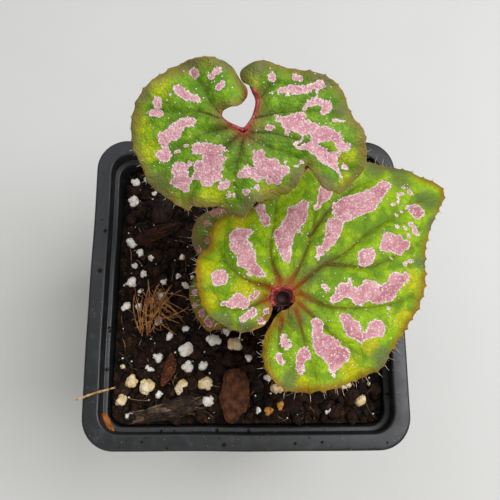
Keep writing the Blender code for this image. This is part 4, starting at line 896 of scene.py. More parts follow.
def bark_finish(name, dark, mid, light, grain_angle, grain_share=1.0):
    """Composted pine bark: layered cork, split along its grain."""
    made, tree, shader, place = new_material(name)
    turned = add(tree, "ShaderNodeMapping", {"Vector": place, "Rotation": (0.0, 0.0, -math.radians(grain_angle))})
    along = add(tree, "ShaderNodeMapping", {"Vector": turned.outputs["Vector"], "Scale": (0.16, 1.0, 1.0)})
    fibre = mottle(tree, along.outputs["Vector"], 0.4, 4.0, 0.65)
    broad = mottle(tree, place, 2.2)
    grit = mottle(tree, place, 0.3)
    colour = blend(tree, ramp(tree, broad, 0.32, 0.68), dark, mid)
    colour = blend(tree, ramp(tree, fibre, 0.48, 0.72, 0.0, grain_share), colour, light)
    colour = blend(tree, ramp(tree, grit, 0.25, 0.45, 0.6, 0.0), colour, dark)
    tree.links.new(colour, shader.inputs["Base Color"])
    shader.inputs["Roughness"].default_value = 0.86
    shader.inputs["Specular IOR Level"].default_value = 0.2
    relief(tree, shader, math_node(tree, "ADD", fibre, grit), 0.3)
    return made


def fibre_finish(name, dark, light):
    """Dry plant fibre, such as coir or straw: hard and slightly glossy, darker in places."""
    made, tree, shader, place = new_material(name)
    colour = blend(tree, ramp(tree, mottle(tree, place, 1.8), 0.35, 0.65), dark, light)
    tree.links.new(colour, shader.inputs["Base Color"])
    shader.inputs["Roughness"].default_value = 0.55
    relief(tree, shader, mottle(tree, place, 0.25), 0.05)
    return made


def pot_finish():
    """Black polypropylene, thermoformed: even semi-gloss, dulled by dried splashes and dust."""
    made, tree, shader, place = new_material("black_polypropylene")
    shape = add(tree, "ShaderNodeNewGeometry").outputs["Normal"]
    level = add(tree, "ShaderNodeSeparateXYZ", {"Vector": shape}).outputs["Z"]
    broad = mottle(tree, place, 16.0, 4.0)
    film = mottle(tree, place, 3.0, 5.0, 0.7)
    dust = cells(tree, place, 1.3)
    fine_dust = cells(tree, place, 0.55)
    colour = blend(tree, ramp(tree, broad, 0.3, 0.7), "111314", "1B1E1F")
    colour = blend(tree, ramp(tree, film, 0.5, 0.8, 0.0, 0.35), colour, "4A4E50")
    lies = ramp(tree, level, -0.2, 0.9, 0.35, 1.0)
    chosen = math_node(tree, "GREATER_THAN", dust.outputs["Color"], 0.9)
    speck = math_node(tree, "MULTIPLY", ramp(tree, dust.outputs["Distance"], 0.05, 0.15, 0.85, 0.0), chosen)
    few = math_node(tree, "GREATER_THAN", fine_dust.outputs["Color"], 0.86)
    fleck = math_node(tree, "MULTIPLY", ramp(tree, fine_dust.outputs["Distance"], 0.14, 0.26, 0.55, 0.0), few)
    dirt = math_node(tree, "MULTIPLY", math_node(tree, "MAXIMUM", speck, fleck), lies)
    colour = blend(tree, dirt, colour, "A39C90")
    tree.links.new(colour, shader.inputs["Base Color"])
    gloss = math_node(tree, "ADD", ramp(tree, film, 0.3, 0.75, 0.34, 0.5), math_node(tree, "MULTIPLY", dirt, 0.4))
    tree.links.new(gloss, shader.inputs["Roughness"])
    shader.inputs["Specular IOR Level"].default_value = 0.5
    relief(tree, shader, math_node(tree, "ADD", mottle(tree, place, 0.35), dirt), 0.03)
    return made


def floor_finish():
    """Plain pale studio floor."""
    made, tree, shader, place = new_material("studio_floor")
    colour = blend(tree, mottle(tree, place, 40.0), "D6D6D2", "DCDCD9")
    tree.links.new(colour, shader.inputs["Base Color"])
    shader.inputs["Roughness"].default_value = 0.8
    return made


# Small repeats, by Geometry Nodes

def scatter_tree():
    """Puts a shape on every point, turned along its aim, scaled by its size and roughened."""
    tree = bpy.data.node_groups.new("scatter_on_points", "GeometryNodeTree")
    face = tree.interface
    face.new_socket(name="Geometry", in_out="INPUT", socket_type="NodeSocketGeometry")
    face.new_socket(name="Shape", in_out="INPUT", socket_type="NodeSocketObject")
    face.new_socket(name="Tumble", in_out="INPUT", socket_type="NodeSocketFloat")
    face.new_socket(name="Lump Depth", in_out="INPUT", socket_type="NodeSocketFloat")
    face.new_socket(name="Lump Scale", in_out="INPUT", socket_type="NodeSocketFloat")
    face.new_socket(name="Seed", in_out="INPUT", socket_type="NodeSocketInt")
    face.new_socket(name="Finish", in_out="INPUT", socket_type="NodeSocketMaterial")
    face.new_socket(name="Geometry", in_out="OUTPUT", socket_type="NodeSocketGeometry")
    given = add(tree, "NodeGroupInput").outputs
    shape = add(tree, "GeometryNodeObjectInfo", {"Object": given["Shape"]})
    aim = add(tree, "GeometryNodeInputNamedAttribute", {"Name": "aim"}, data_type="FLOAT_VECTOR")
    size = add(tree, "GeometryNodeInputNamedAttribute", {"Name": "size"}, data_type="FLOAT")
    aimed = add(tree, "FunctionNodeAlignRotationToVector", {"Vector": aim.outputs["Attribute"]}, axis="Z")
    whole = (2 * math.pi, 2 * math.pi, 2 * math.pi)
    loose = add(tree, "FunctionNodeRandomValue", {"Max": whole, "Seed": given["Seed"]}, data_type="FLOAT_VECTOR")
    roll = add(tree, "ShaderNodeCombineXYZ", {"X": given["Tumble"], "Y": given["Tumble"], "Z": 1.0})
    turn = add(tree, "ShaderNodeVectorMath", {0: loose.outputs["Value"], 1: roll.outputs["Vector"]},
               operation="MULTIPLY")
    rolled = add(tree, "FunctionNodeEulerToRotation", {"Euler": turn.outputs["Vector"]})
    total = add(tree, "FunctionNodeRotateRotation", {"Rotation": aimed.outputs["Rotation"],
                                                     "Rotate By": rolled.outputs["Rotation"]},
                rotation_space="LOCAL")
    put = add(tree, "GeometryNodeInstanceOnPoints", {"Points": given["Geometry"],
                                                     "Instance": shape.outputs["Geometry"],
                                                     "Rotation": total.outputs["Rotation"],
                                                     "Scale": size.outputs["Attribute"]})
    real = add(tree, "GeometryNodeRealizeInstances", {"Geometry": put.outputs["Instances"]})
    rough = add(tree, "ShaderNodeTexNoise", {"Scale": given["Lump Scale"], "Detail": 2.0})
    centred = add(tree, "ShaderNodeVectorMath", {0: rough.outputs["Color"], 1: (0.5, 0.5, 0.5)},
                  operation="SUBTRACT")
    offset = add(tree, "ShaderNodeVectorMath", {0: centred.outputs["Vector"], "Scale": given["Lump Depth"]},
                 operation="SCALE")
    moved = add(tree, "GeometryNodeSetPosition", {"Geometry": real.outputs["Geometry"],
                                                  "Offset": offset.outputs["Vector"]})
    finished = add(tree, "GeometryNodeSetMaterial", {"Geometry": moved.outputs["Geometry"],
                                                     "Material": given["Finish"]})
    add(tree, "NodeGroupOutput", {"Geometry": finished.outputs["Geometry"]})
    return tree


def scatter(name, shape, points, finish, tumble=0.0, lump_depth=0.0, lump_size=1.0, seed=0):
    """Piece with the shape at each point, given as (place, aim, size) in millimetres."""
    mesh = bpy.data.meshes.new(name)
    mesh.from_pydata([tuple(c * MM for c in place) for place, _, _ in points], [], [])
    vector_attribute(mesh, "aim", [tuple(aim) for _, aim, _ in points])
    attribute(mesh, "size", [size for _, _, size in points])
    obj = bpy.data.objects.new(name, mesh)
    bpy.context.scene.collection.objects.link(obj)
    tree = bpy.data.node_groups.get("scatter_on_points") or scatter_tree()
    nodes = obj.modifiers.new("scatter", "NODES")
    nodes.node_group = tree
    values = {"Shape": shape, "Tumble": tumble, "Lump Depth": lump_depth * MM, "Lump Scale": per_mm(lump_size),
              "Seed": seed, "Finish": finish}
    for item in tree.interface.items_tree:
        if item.in_out == "INPUT" and item.name in values:
            nodes[item.identifier] = values[item.name]
    graph = bpy.context.evaluated_depsgraph_get()
    real = bpy.data.meshes.new_from_object(obj.evaluated_get(graph), depsgraph=graph)
    obj.modifiers.clear()
    obj.data = real
    if lump_depth:
        real.shade_smooth()
    return obj


def hair_shape():
    """Bent three-sided thread one millimetre long, standing on its root."""
    path = [Vector((0.16 * (i / 4) ** 2, 0.0, i / 4)) for i in range(5)]
    verts, faces = tube(path, [0.034, 0.03, 0.024, 0.016, 0.005], 3)
    return new_object("hair_shape", verts, faces, [])


def lump_shape(detail, flatness=1.0):
    """Round lump one millimetre in radius."""
    data = bmesh.new()
    bmesh.ops.create_icosphere(data, subdivisions=detail, radius=MM)
    bmesh.ops.scale(data, vec=(1.0, 0.85, flatness), verts=data.verts)
    mesh = bpy.data.meshes.new("lump_shape")
    data.to_mesh(mesh)
    data.free()
    obj = bpy.data.objects.new("lump_shape", mesh)
    bpy.context.scene.collection.objects.link(obj)
    return obj


def crumb_shape(turn):
    """Angular crumb, a box with its corners drawn in."""
    data = bmesh.new()
    bmesh.ops.create_cube(data, size=1.6 * MM)
    pick = random.Random(turn)
    for vert in data.verts:
        vert.co *= pick.uniform(0.55, 1.05)
    bmesh.ops.subdivide_edges(data, edges=data.edges, cuts=1, smooth=0.4)
    mesh = bpy.data.meshes.new("crumb_shape")
    data.to_mesh(mesh)
    data.free()
    obj = bpy.data.objects.new("crumb_shape", mesh)
    bpy.context.scene.collection.objects.link(obj)
    return obj


# Blades

def young_outline(length, half_width, lobe):
    """Heart outline of a small leaf with lobes that close over the stalk."""
    points = [(0.3, 0.0), (-0.5 * lobe, 0.16 * half_width), (-0.95 * lobe, 0.30 * half_width),
              (-lobe, 0.62 * half_width), (-0.55 * lobe, 0.92 * half_width), (0.10 * length, half_width),
              (0.42 * length, 0.86 * half_width), (0.74 * length, 0.52 * half_width),
              (0.93 * length, 0.20 * half_width)]
    mirrored = [(x, -y) for x, y in reversed(points[1:])]
    return points + [(length, 0.0)] + mirrored


def young_veins(length, half_width, lobe):
    ends = [(0.78 * length, 0.0), (0.5 * length, 0.55 * half_width), (0.02 * length, 0.72 * half_width),
            (-0.6 * lobe, 0.55 * half_width)]
    veins = []
    for x, y in ends:
        for side in ((1, -1) if y else (1,)):
            veins.append([(0.06 * x + 0.5, 0.12 * y * side), (0.5 * x, 0.55 * y * side), (x, y * side)])
    return veins


def side_veins(leaf, pick):
    """Branches that leave the main veins by turns to both sides and bend towards the margin."""
    small = 0.6 if leaf.get("young") else 1.0
    branches = []
    for vein in leaf["veins"]:
        line = spline(vein, 8)
        passed = 0.0
        due = 2.2 * small
        side = 1
        for i in range(1, len(line) - 1):
            passed += (line[i] - line[i - 1]).length
            if passed > due:
                ahead = (line[i + 1] - line[i - 1]).normalized()
                turn = math.radians(pick.uniform(38, 56)) * side
                way = Vector((ahead.x * math.cos(turn) - ahead.y * math.sin(turn),
                              ahead.x * math.sin(turn) + ahead.y * math.cos(turn)))
                reach = pick.uniform(3.4, 6.4) * small
                middle = line[i] + way * reach * 0.5 + ahead * reach * 0.06
                branches.append([line[i], middle, line[i] + way * reach * 0.86 + ahead * reach * 0.3])
                due = passed + pick.uniform(1.7, 2.7) * small
                side = -side
    return branches


def vein_distances(leaf, points):
    """Distance past the side of the nearest main vein, to its middle and to the nearest branch, and
    how far out along its vein each point lies."""
    middle = np.full(len(points), 1e9)
    past_side = np.full(len(points), 1e9)
    outward_share = np.zeros(len(points))
    for vein in leaf["veins"]:
        away, along = nearest_line(points, spline(vein, 6))
        outward_share = np.where(away < middle, along, outward_share)
        middle = np.minimum(middle, away)
        past_side = np.minimum(past_side, away - leaf["vein_width"] * (0.25 + 0.75 * (1.0 - along) ** 2))
    net = np.full(len(points), 1e9)
    for branch in leaf["branches"]:
        net = np.minimum(net, nearest_line(points, branch)[0])
    return past_side, middle, net, outward_share


def plain_vein_distance(leaf, points):
    """Distance to the straight-lined veins that shape the solid blade."""
    best = np.full(len(points), 1e9)
    for vein in leaf["veins"]:
        best = np.minimum(best, nearest_line(points, vein)[0])
    return best


def blade_height(leaf, points, edge):
    """Height over the leaf's plane, with edge the distance to the margin: the solid blade's form."""
    x, y = points[:, 0], points[:, 1]
    ahead, behind, aside = leaf["reach"]
    tip_hang, lobe_hang, side_hang = leaf["hang"]
    height = -side_hang * (y / aside) ** 2
    height -= tip_hang * (np.maximum(x, 0.0) / ahead) ** 2 + lobe_hang * (np.minimum(x, 0.0) / behind) ** 2
    away = np.minimum(1.0, np.hypot(x, y) / 12.0)
    rim = np.exp(-edge / MARGIN_WIDTH) * away
    height += leaf["wave"] * rim * np.sin(leaf["waves"] * np.arctan2(y, x) + leaf["phase"])
    for fx, fy, reach, lift in leaf["folds"]:
        height += lift * np.exp(-((x - fx) ** 2 + (y - fy) ** 2) / reach ** 2)
    fade = 1.0 - 0.55 * np.minimum(1.0, np.hypot(x, y) / ahead)
    return height - VEIN_DEPTH * fade * np.exp(-plain_vein_distance(leaf, points) / VEIN_WIDTH)


def blotch_distance(leaf, points):
    """Distance to the nearest blotch, below nought inside it."""
    best = np.full(len(points), 9.0)
    for chain in leaf["blotches"]:
        rounds = chain if len(chain) > 1 else chain * 2
        for (ax, ay, ar), (bx, by, br) in zip(rounds, rounds[1:]):
            start, along = np.array((ax, ay)), np.array((bx - ax, by - ay))
            t = np.clip(((points - start) @ along) / max(along @ along, 1e-9), 0.0, 1.0)
            far = np.linalg.norm(points - start - t[:, None] * along, axis=1)
            best = np.minimum(best, far - (ar + (br - ar) * t))
    return best


def spots(points, rounds):
    """Soft spots from 0 to 1, each (x, y, radius)."""
    total = np.zeros(len(points))
    for x, y, radius in rounds:
        total = np.maximum(total, np.exp(-((points[:, 0] - x) ** 2 + (points[:, 1] - y) ** 2) / radius ** 2))
    return total


def toothed(loop, tooth, smooth_within, pick):
    """Outline with small uneven teeth, and the places of their tips with the way out."""
    step = (loop[1] - loop[0]).length
    corners = np.array([tuple(p) for p in loop])
    outs = []
    for i in range(len(loop)):
        along = loop[(i + 1) % len(loop)] - loop[i - 1]
        outs.append(Vector((along.y, -along.x)).normalized())
    if inside(corners[:1] + np.array([tuple(outs[0])]) * 0.05, loop)[0]:
        outs = [-out for out in outs]
    push_out = np.zeros(len(loop))
    tips = []
    due = pick.uniform(0.5, 2.0)
    for i, point in enumerate(loop):
        if i * step > due:
            away = min(1.0, max(0.0, (point.length - smooth_within) / 3.0))
            height = tooth * pick.uniform(0.4, 1.3) * away
            for k in range(-4, 5):
                push_out[(i + k) % len(loop)] += height * max(0.0, 1.0 - abs(k * step) / 0.75) ** 1.4
            tips.append((i, height))
            due = i * step + pick.uniform(1.7, 3.4)
    ripple = 0.22 * lumps(np.column_stack([corners, np.zeros(len(loop))]), 1.6, 3.3)
    ripple *= soft_step(np.hypot(corners[:, 0], corners[:, 1]), smooth_within - 1.0, smooth_within + 2.0)
    moved = [point + out * (push_out[i] + ripple[i]) for i, (point, out) in enumerate(zip(loop, outs))]
    return moved, [(moved[i], outs[i], height) for i, height in tips], outs


def blade_sheet(leaf, points, margin, smooth_margin):
    """Middle of the blade at each point, its normal and its thickness."""
    edge = nearest_line(points, smooth_margin, closed=True)[0]
    beyond = ~inside(points, smooth_margin)
    edge[beyond] = 0.0
    true_edge = nearest_line(points, margin, closed=True)[0]
    past_side, middle, net, outward_share = vein_distances(leaf, points)

    def lift(places, edges):
        return blade_height(leaf, places, edges)

    reach = 0.15
    here = lift(points, edge)
    slope_x = (lift(points + (reach, 0.0), edge) - here) / reach
    slope_y = (lift(points + (0.0, reach), edge) - here) / reach
    flat = np.column_stack([points, np.zeros(len(points))])
    fine = 0.24 * lumps(flat, 2.6, 5.0) + 0.1 * lumps(flat, 1.1, 9.0)
    inner = soft_step(np.hypot(points[:, 0], points[:, 1]), 1.0, 5.0)
    fine *= soft_step(middle, 0.3, 1.6)
    fine -= 0.19 * np.exp(-(net / 0.42) ** 2) + 0.2 * np.exp(-(middle / 0.5) ** 2)
    crinkle = 0.46 * np.exp(-edge / 1.3) * lumps(flat, 2.2, 14.0)
    height = here + fine * inner + crinkle * soft_step(np.hypot(points[:, 0], points[:, 1]), 6.0, 12.0)
    height += 1.0 * np.exp(-edge / 0.8) * spots(points, leaf["curl"])
    normals = np.column_stack([-slope_x, -slope_y, np.ones(len(points))])
    normals /= np.linalg.norm(normals, axis=1)[:, None]
    thick = BLADE_EDGE + (BLADE_MIDDLE - BLADE_EDGE) * soft_step(true_edge, 0.0, 1.6)
    return height, normals, thick, {"margin": true_edge * 2.0 / leaf["margin"], "edge": true_edge,
                                    "vein": past_side, "net": net, "fade": outward_share}


def build_blade(key, leaf, finishes, pick):
    """Fine blade on the solid blade's form, with what its material reads at each point."""
    smooth_margin = smooth_closed(leaf["outline"], BLADE_STEP)
    margin, tips, outs = toothed(smooth_margin, leaf["tooth"], leaf["smooth_within"], pick)
    step = BLADE_STEP * (0.8 if leaf.get("young") else 1.0)
    points, faces = triangulate(margin, filled(margin, step, 0.45 * step))
    height, normals, thick, measures = blade_sheet(leaf, points, margin, smooth_margin)
    middles = np.column_stack([points, height])
    upper = middles + normals * thick[:, None] / 2
    lower = middles - normals * thick[:, None] / 2
    count = len(points)
    all_faces = [tuple(f) for f in faces]
    all_faces += [tuple(i + count for i in reversed(f)) for f in faces]
    all_faces += [(b, a, a + count, b + count) for a, b in rim_edges(faces)]
    turn = np.array(Euler([math.radians(a) for a in leaf["turn"]]).to_matrix())
    world = np.vstack([upper, lower]) @ turn.T + np.array(leaf["place"])
    obj = new_object("leaf_" + key, world, all_faces, finishes)
    obj.data.polygons.foreach_set("material_index", [0] * len(faces) + [1] * len(faces)
                                  + [0] * (len(all_faces) - 2 * len(faces)))
    r = np.hypot(points[:, 0], points[:, 1])
    angle = np.arctan2(points[:, 1], points[:, 0])
    ray = np.column_stack([angle * 9.0, r * 0.28, np.zeros(count)])
    away_from_tip = soft_step(-points[:, 0], -3.0, 0.5)
    red_reach = np.where(points[:, 1] > 0.0, *leaf["sinus_red"])
    sinus = np.exp(-(measures["edge"] / 0.6) ** 2) * soft_step(red_reach - r, 0.0, 1.6)
    measures["sinus"] = sinus * away_from_tip * (1.0 - spots(points, leaf["curl"]))
    measures["blotch"] = blotch_distance(leaf, points) - leaf["grow"]
    measures["yellow"] = spots(points, leaf["yellow"])
    measures["olive"] = spots(points, leaf["olive"])
    measures["heart"] = r
    for name, values in measures.items():
        attribute(obj.data, name, np.concatenate([values, values]))
    vector_attribute(obj.data, "ray", np.vstack([ray, ray]))
    return obj, margin, tips, outs, smooth_margin


def to_world(leaf, local):
    turn = Euler([math.radians(a) for a in leaf["turn"]]).to_matrix()
    return Vector(leaf["place"]) + turn @ Vector(local)


def blade_hairs(leaf, margin, tips, outs, smooth_margin, pick):
    """Hairs on the teeth and between them along the margin."""
    short, long = leaf["hair"]
    clear = leaf["smooth_within"]
    roots = [(point, out, pick.uniform(0.7, 1.0) * long) for point, out, _ in tips if point.length > clear]
    for i in range(0, len(margin), 3):
        if pick.random() < 0.6 and margin[i].length > clear:
            roots.append((margin[i], outs[i], pick.uniform(short, 0.6 * long + 0.4 * short)))
    places = np.array([tuple(point) for point, _, _ in roots])
    height = blade_sheet(leaf, places, margin, smooth_margin)[0]
    turn = Euler([math.radians(a) for a in leaf["turn"]]).to_matrix()
    hairs = []
    for (point, out, size), z in zip(roots, height):
        aim = Vector((out.x, out.y, pick.uniform(-0.3, 0.75))) + Vector((pick.uniform(-0.4, 0.4),) * 2 + (0.0,))
        hairs.append((to_world(leaf, (point.x, point.y, z)), turn @ aim.normalized(), size))
    return hairs


# Stalks and rhizome

def stalk_path(key, leaf, steps):
    """Middle line of a stalk, from its stub on the rhizome to the blade."""
    turn = Euler([math.radians(a) for a in leaf["turn"]]).to_matrix()
    foot = Vector(leaf["foot"])
    lean = Vector(leaf["foot_lean"]).normalized()
    top_local = Vector((leaf["stalk_shift"], 0.0, STALK_TOP_B))
    if key != "b":
        around = np.array([(leaf["stalk_shift"] + 2.2 * math.cos(k * math.pi / 6), 2.2 * math.sin(k * math.pi / 6))
                           for k in range(12)])
        top_local.z = blade_height(leaf, around, np.full(12, 9.0)).min() - BLADE_GAP
    top = Vector(leaf["place"]) + turn @ top_local
    normal = turn @ UP
    span = (top - foot).length
    return bezier(foot, foot + lean * span * 0.4, top - normal * span * 0.35, top, steps), normal


def build_stalk(key, leaf, finish, pick):
    """Fleshy stalk with slight ribs, and the roots of its hairs."""
    steps = 70
    sides = 20
    path, normal = stalk_path(key, leaf, steps)
    low, middle, high = leaf["stalk"]
    radii = []
    for i in range(steps + 1):
        t = i / steps
        radii.append(middle + (low - middle) * (1 - t) ** 3 + (high - middle) * t ** 6)
    if key != "b":
        radii[-1] *= 0.8
    verts, faces = tube(path, radii, sides)
    verts = [Vector(v) for v in verts]
    ribbed = []
    for i, vert in enumerate(verts):
        ring, k = divmod(i, sides)
        out = vert - path[ring]
        rib = 0.05 * math.cos(5 * 2 * math.pi * k / sides + 0.05 * ring)
        uneven = 0.09 * noise.noise(Vector((vert.x * 0.5, vert.y * 0.5, vert.z * 0.25)))
        ribbed.append(vert + out.normalized() * (rib + uneven) if out.length else vert)
    reach = len(ribbed)
    if key == "b":
        faces = faces[:-1]
        for j, (share, sink) in enumerate(((0.84, 0.4), (0.62, 1.5), (0.3, 2.1))):
            ribbed.extend(path[-1] + (v - path[-1]) * share - normal * sink for v in ribbed[reach - sides:reach])
            for k in range(sides):
                a, b = reach - sides + j * sides + k, reach - sides + j * sides + (k + 1) % sides
                faces.append((a, b, b + sides, a + sides))
        faces.append(tuple(range(reach + 2 * sides, reach + 3 * sides)))
    else:
        wide = [path[-1] + (v - path[-1]) * 1.5 + normal * (BLADE_GAP - 0.3) for v in ribbed[-sides:]]
        ribbed.extend(wide)
        faces = faces[:-1]
        for k in range(sides):
            a = reach - sides + k
            b = reach - sides + (k + 1) % sides
            faces.append((a, b, b + sides, a + sides))
        faces.append(tuple(range(reach, reach + sides)))
    stalk = new_object("stalk_" + key, ribbed, faces, list(finish))
    # Faces of stalk b's sunken top take the hollow finish, painted dark as shade.
    inner = [1 if min(face) >= reach - sides and key == "b" else 0 for face in faces]
    stalk.data.polygons.foreach_set("material_index", inner)
    hairs = []
    hair_count = int(2.4 * sum((q - p).length for p, q in zip(path, path[1:])))
    for _ in range(hair_count * 3):
        i = pick.randrange(2, steps - 1)
        k = pick.randrange(sides)
        root = ribbed[i * sides + k]
        out = (root - path[i]).normalized()
        aim = (out + UP * pick.uniform(-0.3, 0.4) + Vector([pick.uniform(-0.3, 0.3) for _ in range(3)])).normalized()
        hairs.append((root - out * 0.05, aim, pick.uniform(0.6, 1.7)))
    return stalk, hairs


SINUS_VEINS_A = [
    ([(-0.2, 0.1), (-1.9, 1.35), (-3.4, 2.15), (-5.5, 2.75), (-6.9, 2.7), (-8.2, 2.1), (-9.3, 1.25)],
     [0.42, 0.4, 0.42, 0.48, 0.5, 0.62, 0.3]),
    ([(-0.2, 0.0), (-1.1, -2.3), (-2.0, -3.95), (-3.1, -4.9), (-4.3, -4.6)], [0.4, 0.34, 0.3, 0.24, 0.1])]


def build_sinus_veins(leaf, finish):
    """Bare red veins that edge the gap between the lobes."""
    turn = np.array(Euler([math.radians(a) for a in leaf["turn"]]).to_matrix())
    parts = []
    for line, radii in SINUS_VEINS_A:
        fine = spline(line, 8)
        flat = np.array([tuple(p) for p in fine])
        height = blade_height(leaf, flat, np.full(len(flat), 1.0)) - 0.1
        world = np.column_stack([flat, height]) @ turn.T + np.array(leaf["place"])
        sizes = np.interp(np.linspace(0, len(radii) - 1, len(fine)), range(len(radii)), radii)
        parts.append(tube([Vector(p) for p in world], list(sizes), 10))
    return tubes("sinus_veins", parts, finish)


def build_funnel(leaf, finish):
    """Red funnel of blade tissue that runs down onto the stalk at the back of the sinus."""
    start, end, steps = math.radians(-66), math.radians(192), 48
    section = [(3.15, 0.12), (2.7, 0.16), (2.3, -0.35), (2.0, -1.1), (1.85, -1.9), (2.25, -1.9), (2.5, -1.0),
               (2.85, -0.45)]
    verts = []
    faces = []
    for i in range(steps + 1):
        turn = start + (end - start) * i / steps
        widen = 0.55 * max(0.0, (turn - math.radians(140)) / math.radians(52))
        fade = 0.35 + 0.65 * min(1.0, min(i, steps - i) / 5)
        ring = np.array([(math.cos(turn) * 2.8, math.sin(turn) * 2.8)])
        edge_height = blade_height(leaf, ring, np.full(1, 1.0))[0]
        ruck = 0.2 * math.sin(turn * 3.1 + 1.0) + 0.12 * math.sin(turn * 7)
        for k, (reach, z) in enumerate(section):
            reach = reach + widen + (ruck if k < 5 else 0.5 * ruck)
            rise = edge_height if k in (0, 1) else edge_height * 0.6
            verts.append(to_world(leaf, (reach * math.cos(turn), reach * math.sin(turn), z * fade + rise)))
    count = len(section)
    for i in range(steps):
        for k in range(count):
            a, b = i * count + k, i * count + (k + 1) % count
            faces.append((a, b, b + count, a + count))
    faces.append(tuple(range(count)))
    faces.append(tuple(reversed(range(steps * count, (steps + 1) * count))))
    return outward(new_object("stalk_funnel", verts, faces, [finish]))


def build_rhizome(finish):
    """Creeping stem with leaf scars, swollen joints and root crowns, in one skin."""
    parts = []
    spine = spline(RHIZOME_PATH, 8)
    along = np.linspace(0.0, len(RHIZOME_RADII) - 1, len(spine))
    radii = np.interp(along, range(len(RHIZOME_RADII)), RHIZOME_RADII)
    swell = [r * (1.0 + 0.05 * math.cos(2.6 * math.pi * a)) for r, a in zip(radii, along)]
    swell[0] *= 0.6
    swell[-1] *= 0.6
    parts.append(tube(spine, swell, 20))
    for x, y in ROOT_PLACES:
        parts.append(tube([(x, y, ROOT_BOTTOM), (x, y, 72.0), (x, y, 78.0)], [0.9, ROOT_RADIUS, ROOT_RADIUS], 14))
    for leaf in LEAVES.values():
        foot = Vector(leaf["foot"])
        lean = Vector(leaf["foot_lean"]).normalized()
        wide = leaf["stalk"][0]
        parts.append(tube([foot - lean * 3.3, foot - lean * 1.2, foot + lean * 0.4],
                          [wide * 1.3, wide * 1.22, wide * 1.02], 16))
    obj = remesh(tubes("rhizome_stem", parts, finish), 0.4, 3)
    places = places_mm(obj)
    ring = 0.16 * np.sin(places[:, 1] * 2.3 + 1.4 * lumps(places, 3.0, 2.0))
    push(obj, ring + 0.22 * lumps(places, 1.3, 7.0) + 0.1 * lumps(places, 0.6, 11.0))
    return obj


def build_stipules(finish, pick):
    """Dry papery scales at the foot of each stalk."""
    verts = []
    faces = []
    for leaf in LEAVES.values():
        foot = Vector(leaf["foot"])
        lean = Vector(leaf["foot_lean"]).normalized()
        for turn in (pick.uniform(0, 1.2), pick.uniform(2.6, 3.8), pick.uniform(4.4, 5.4)):
            out = Vector((math.cos(turn), math.sin(turn), 0.0))
            out = (out - lean * out.dot(lean)).normalized()
            side = lean.cross(out)
            wide = leaf["stalk"][0]
            base = len(verts)
            tall = wide * pick.uniform(1.3, 1.9)
            for skin in (0.0, 0.09):
                for i in range(5):
                    t = i / 4
                    lift = foot - lean * 1.5 + lean * tall * t
                    bow = out * (wide * 1.25 + 0.5 * t * t + skin)
                    half = wide * 0.75 * (1.0 - t) ** 0.6
                    for s in (-1.0, -0.5, 0.0, 0.5, 1.0):
                        verts.append(lift + bow - out * 0.4 * s * s * (1 - t) + side * half * s)
            for i in range(4):
                for j in range(4):
                    a = base + i * 5 + j
                    faces.append((a, a + 1, a + 6, a + 5))
                    faces.append((a + 25, a + 30, a + 31, a + 26))
            ring = [base + j for j in range(5)] + [base + 5 * i + 4 for i in range(1, 5)]
            ring += [base + 20 + j for j in (3, 2, 1, 0)] + [base + 5 * i for i in (3, 2, 1)]
            for a, b in zip(ring, ring[1:] + ring[:1]):
                faces.append((b, a, a + 25, b + 25))
    return outward(new_object("stipules", verts, faces, [finish]))


# Soil

def soil_lie(points):
    """Even lie of the soil, as on the solid."""
    near = nearest_line(points, [p[:2] for p in RHIZOME_PATH])[0]
    freedom = np.clip((near - SOIL_CALM) / 5.0, 0.0, 1.0)
    coarse = np.array([noise.noise(Vector((x * 0.09, y * 0.09, 3.0))) for x, y in points])
    fine = np.array([noise.noise(Vector((x * 0.31, y * 0.31, 8.0))) for x, y in points])
    return SOIL_LEVEL - SOIL_FALL * points[:, 1] + freedom * (1.3 * coarse + 0.8 * fine)


def wall_inside(z):
    """Half width and corner radius of the pot's inner wall at a height."""
    ledge = POT_HEIGHT - COLLAR_DROP - 0.2
    t = (z - FLOOR) / (ledge - FLOOR)
    return (BASE_HALF - WALL) + t * (WALL_TOP_HALF - BASE_HALF), (BASE_CORNER - WALL) + t * (WALL_CORNER - BASE_CORNER)


def rounded_square(half, corner, z=0.0, steps=CORNER_STEPS, side_steps=1):
    """Square outline with round corners, counter-clockwise, with the sides cut in steps."""
    corners = []
    for quarter in range(4):
        turn = quarter * math.pi / 2
        for i in range(steps + 1):
            angle = turn + i * math.pi / 2 / steps
            middle = Vector(((half - corner) * (1 if quarter in (0, 3) else -1),
                             (half - corner) * (1 if quarter in (0, 1) else -1), z))
            corners.append(middle + Vector((math.cos(angle), math.sin(angle), 0.0)) * corner)
    points = []
    for i, point in enumerate(corners):
        points.append(point)
        if i % (steps + 1) == steps:
            after = corners[(i + 1) % len(corners)]
            points.extend(point.lerp(after, k / side_steps) for k in range(1, side_steps))
    return points


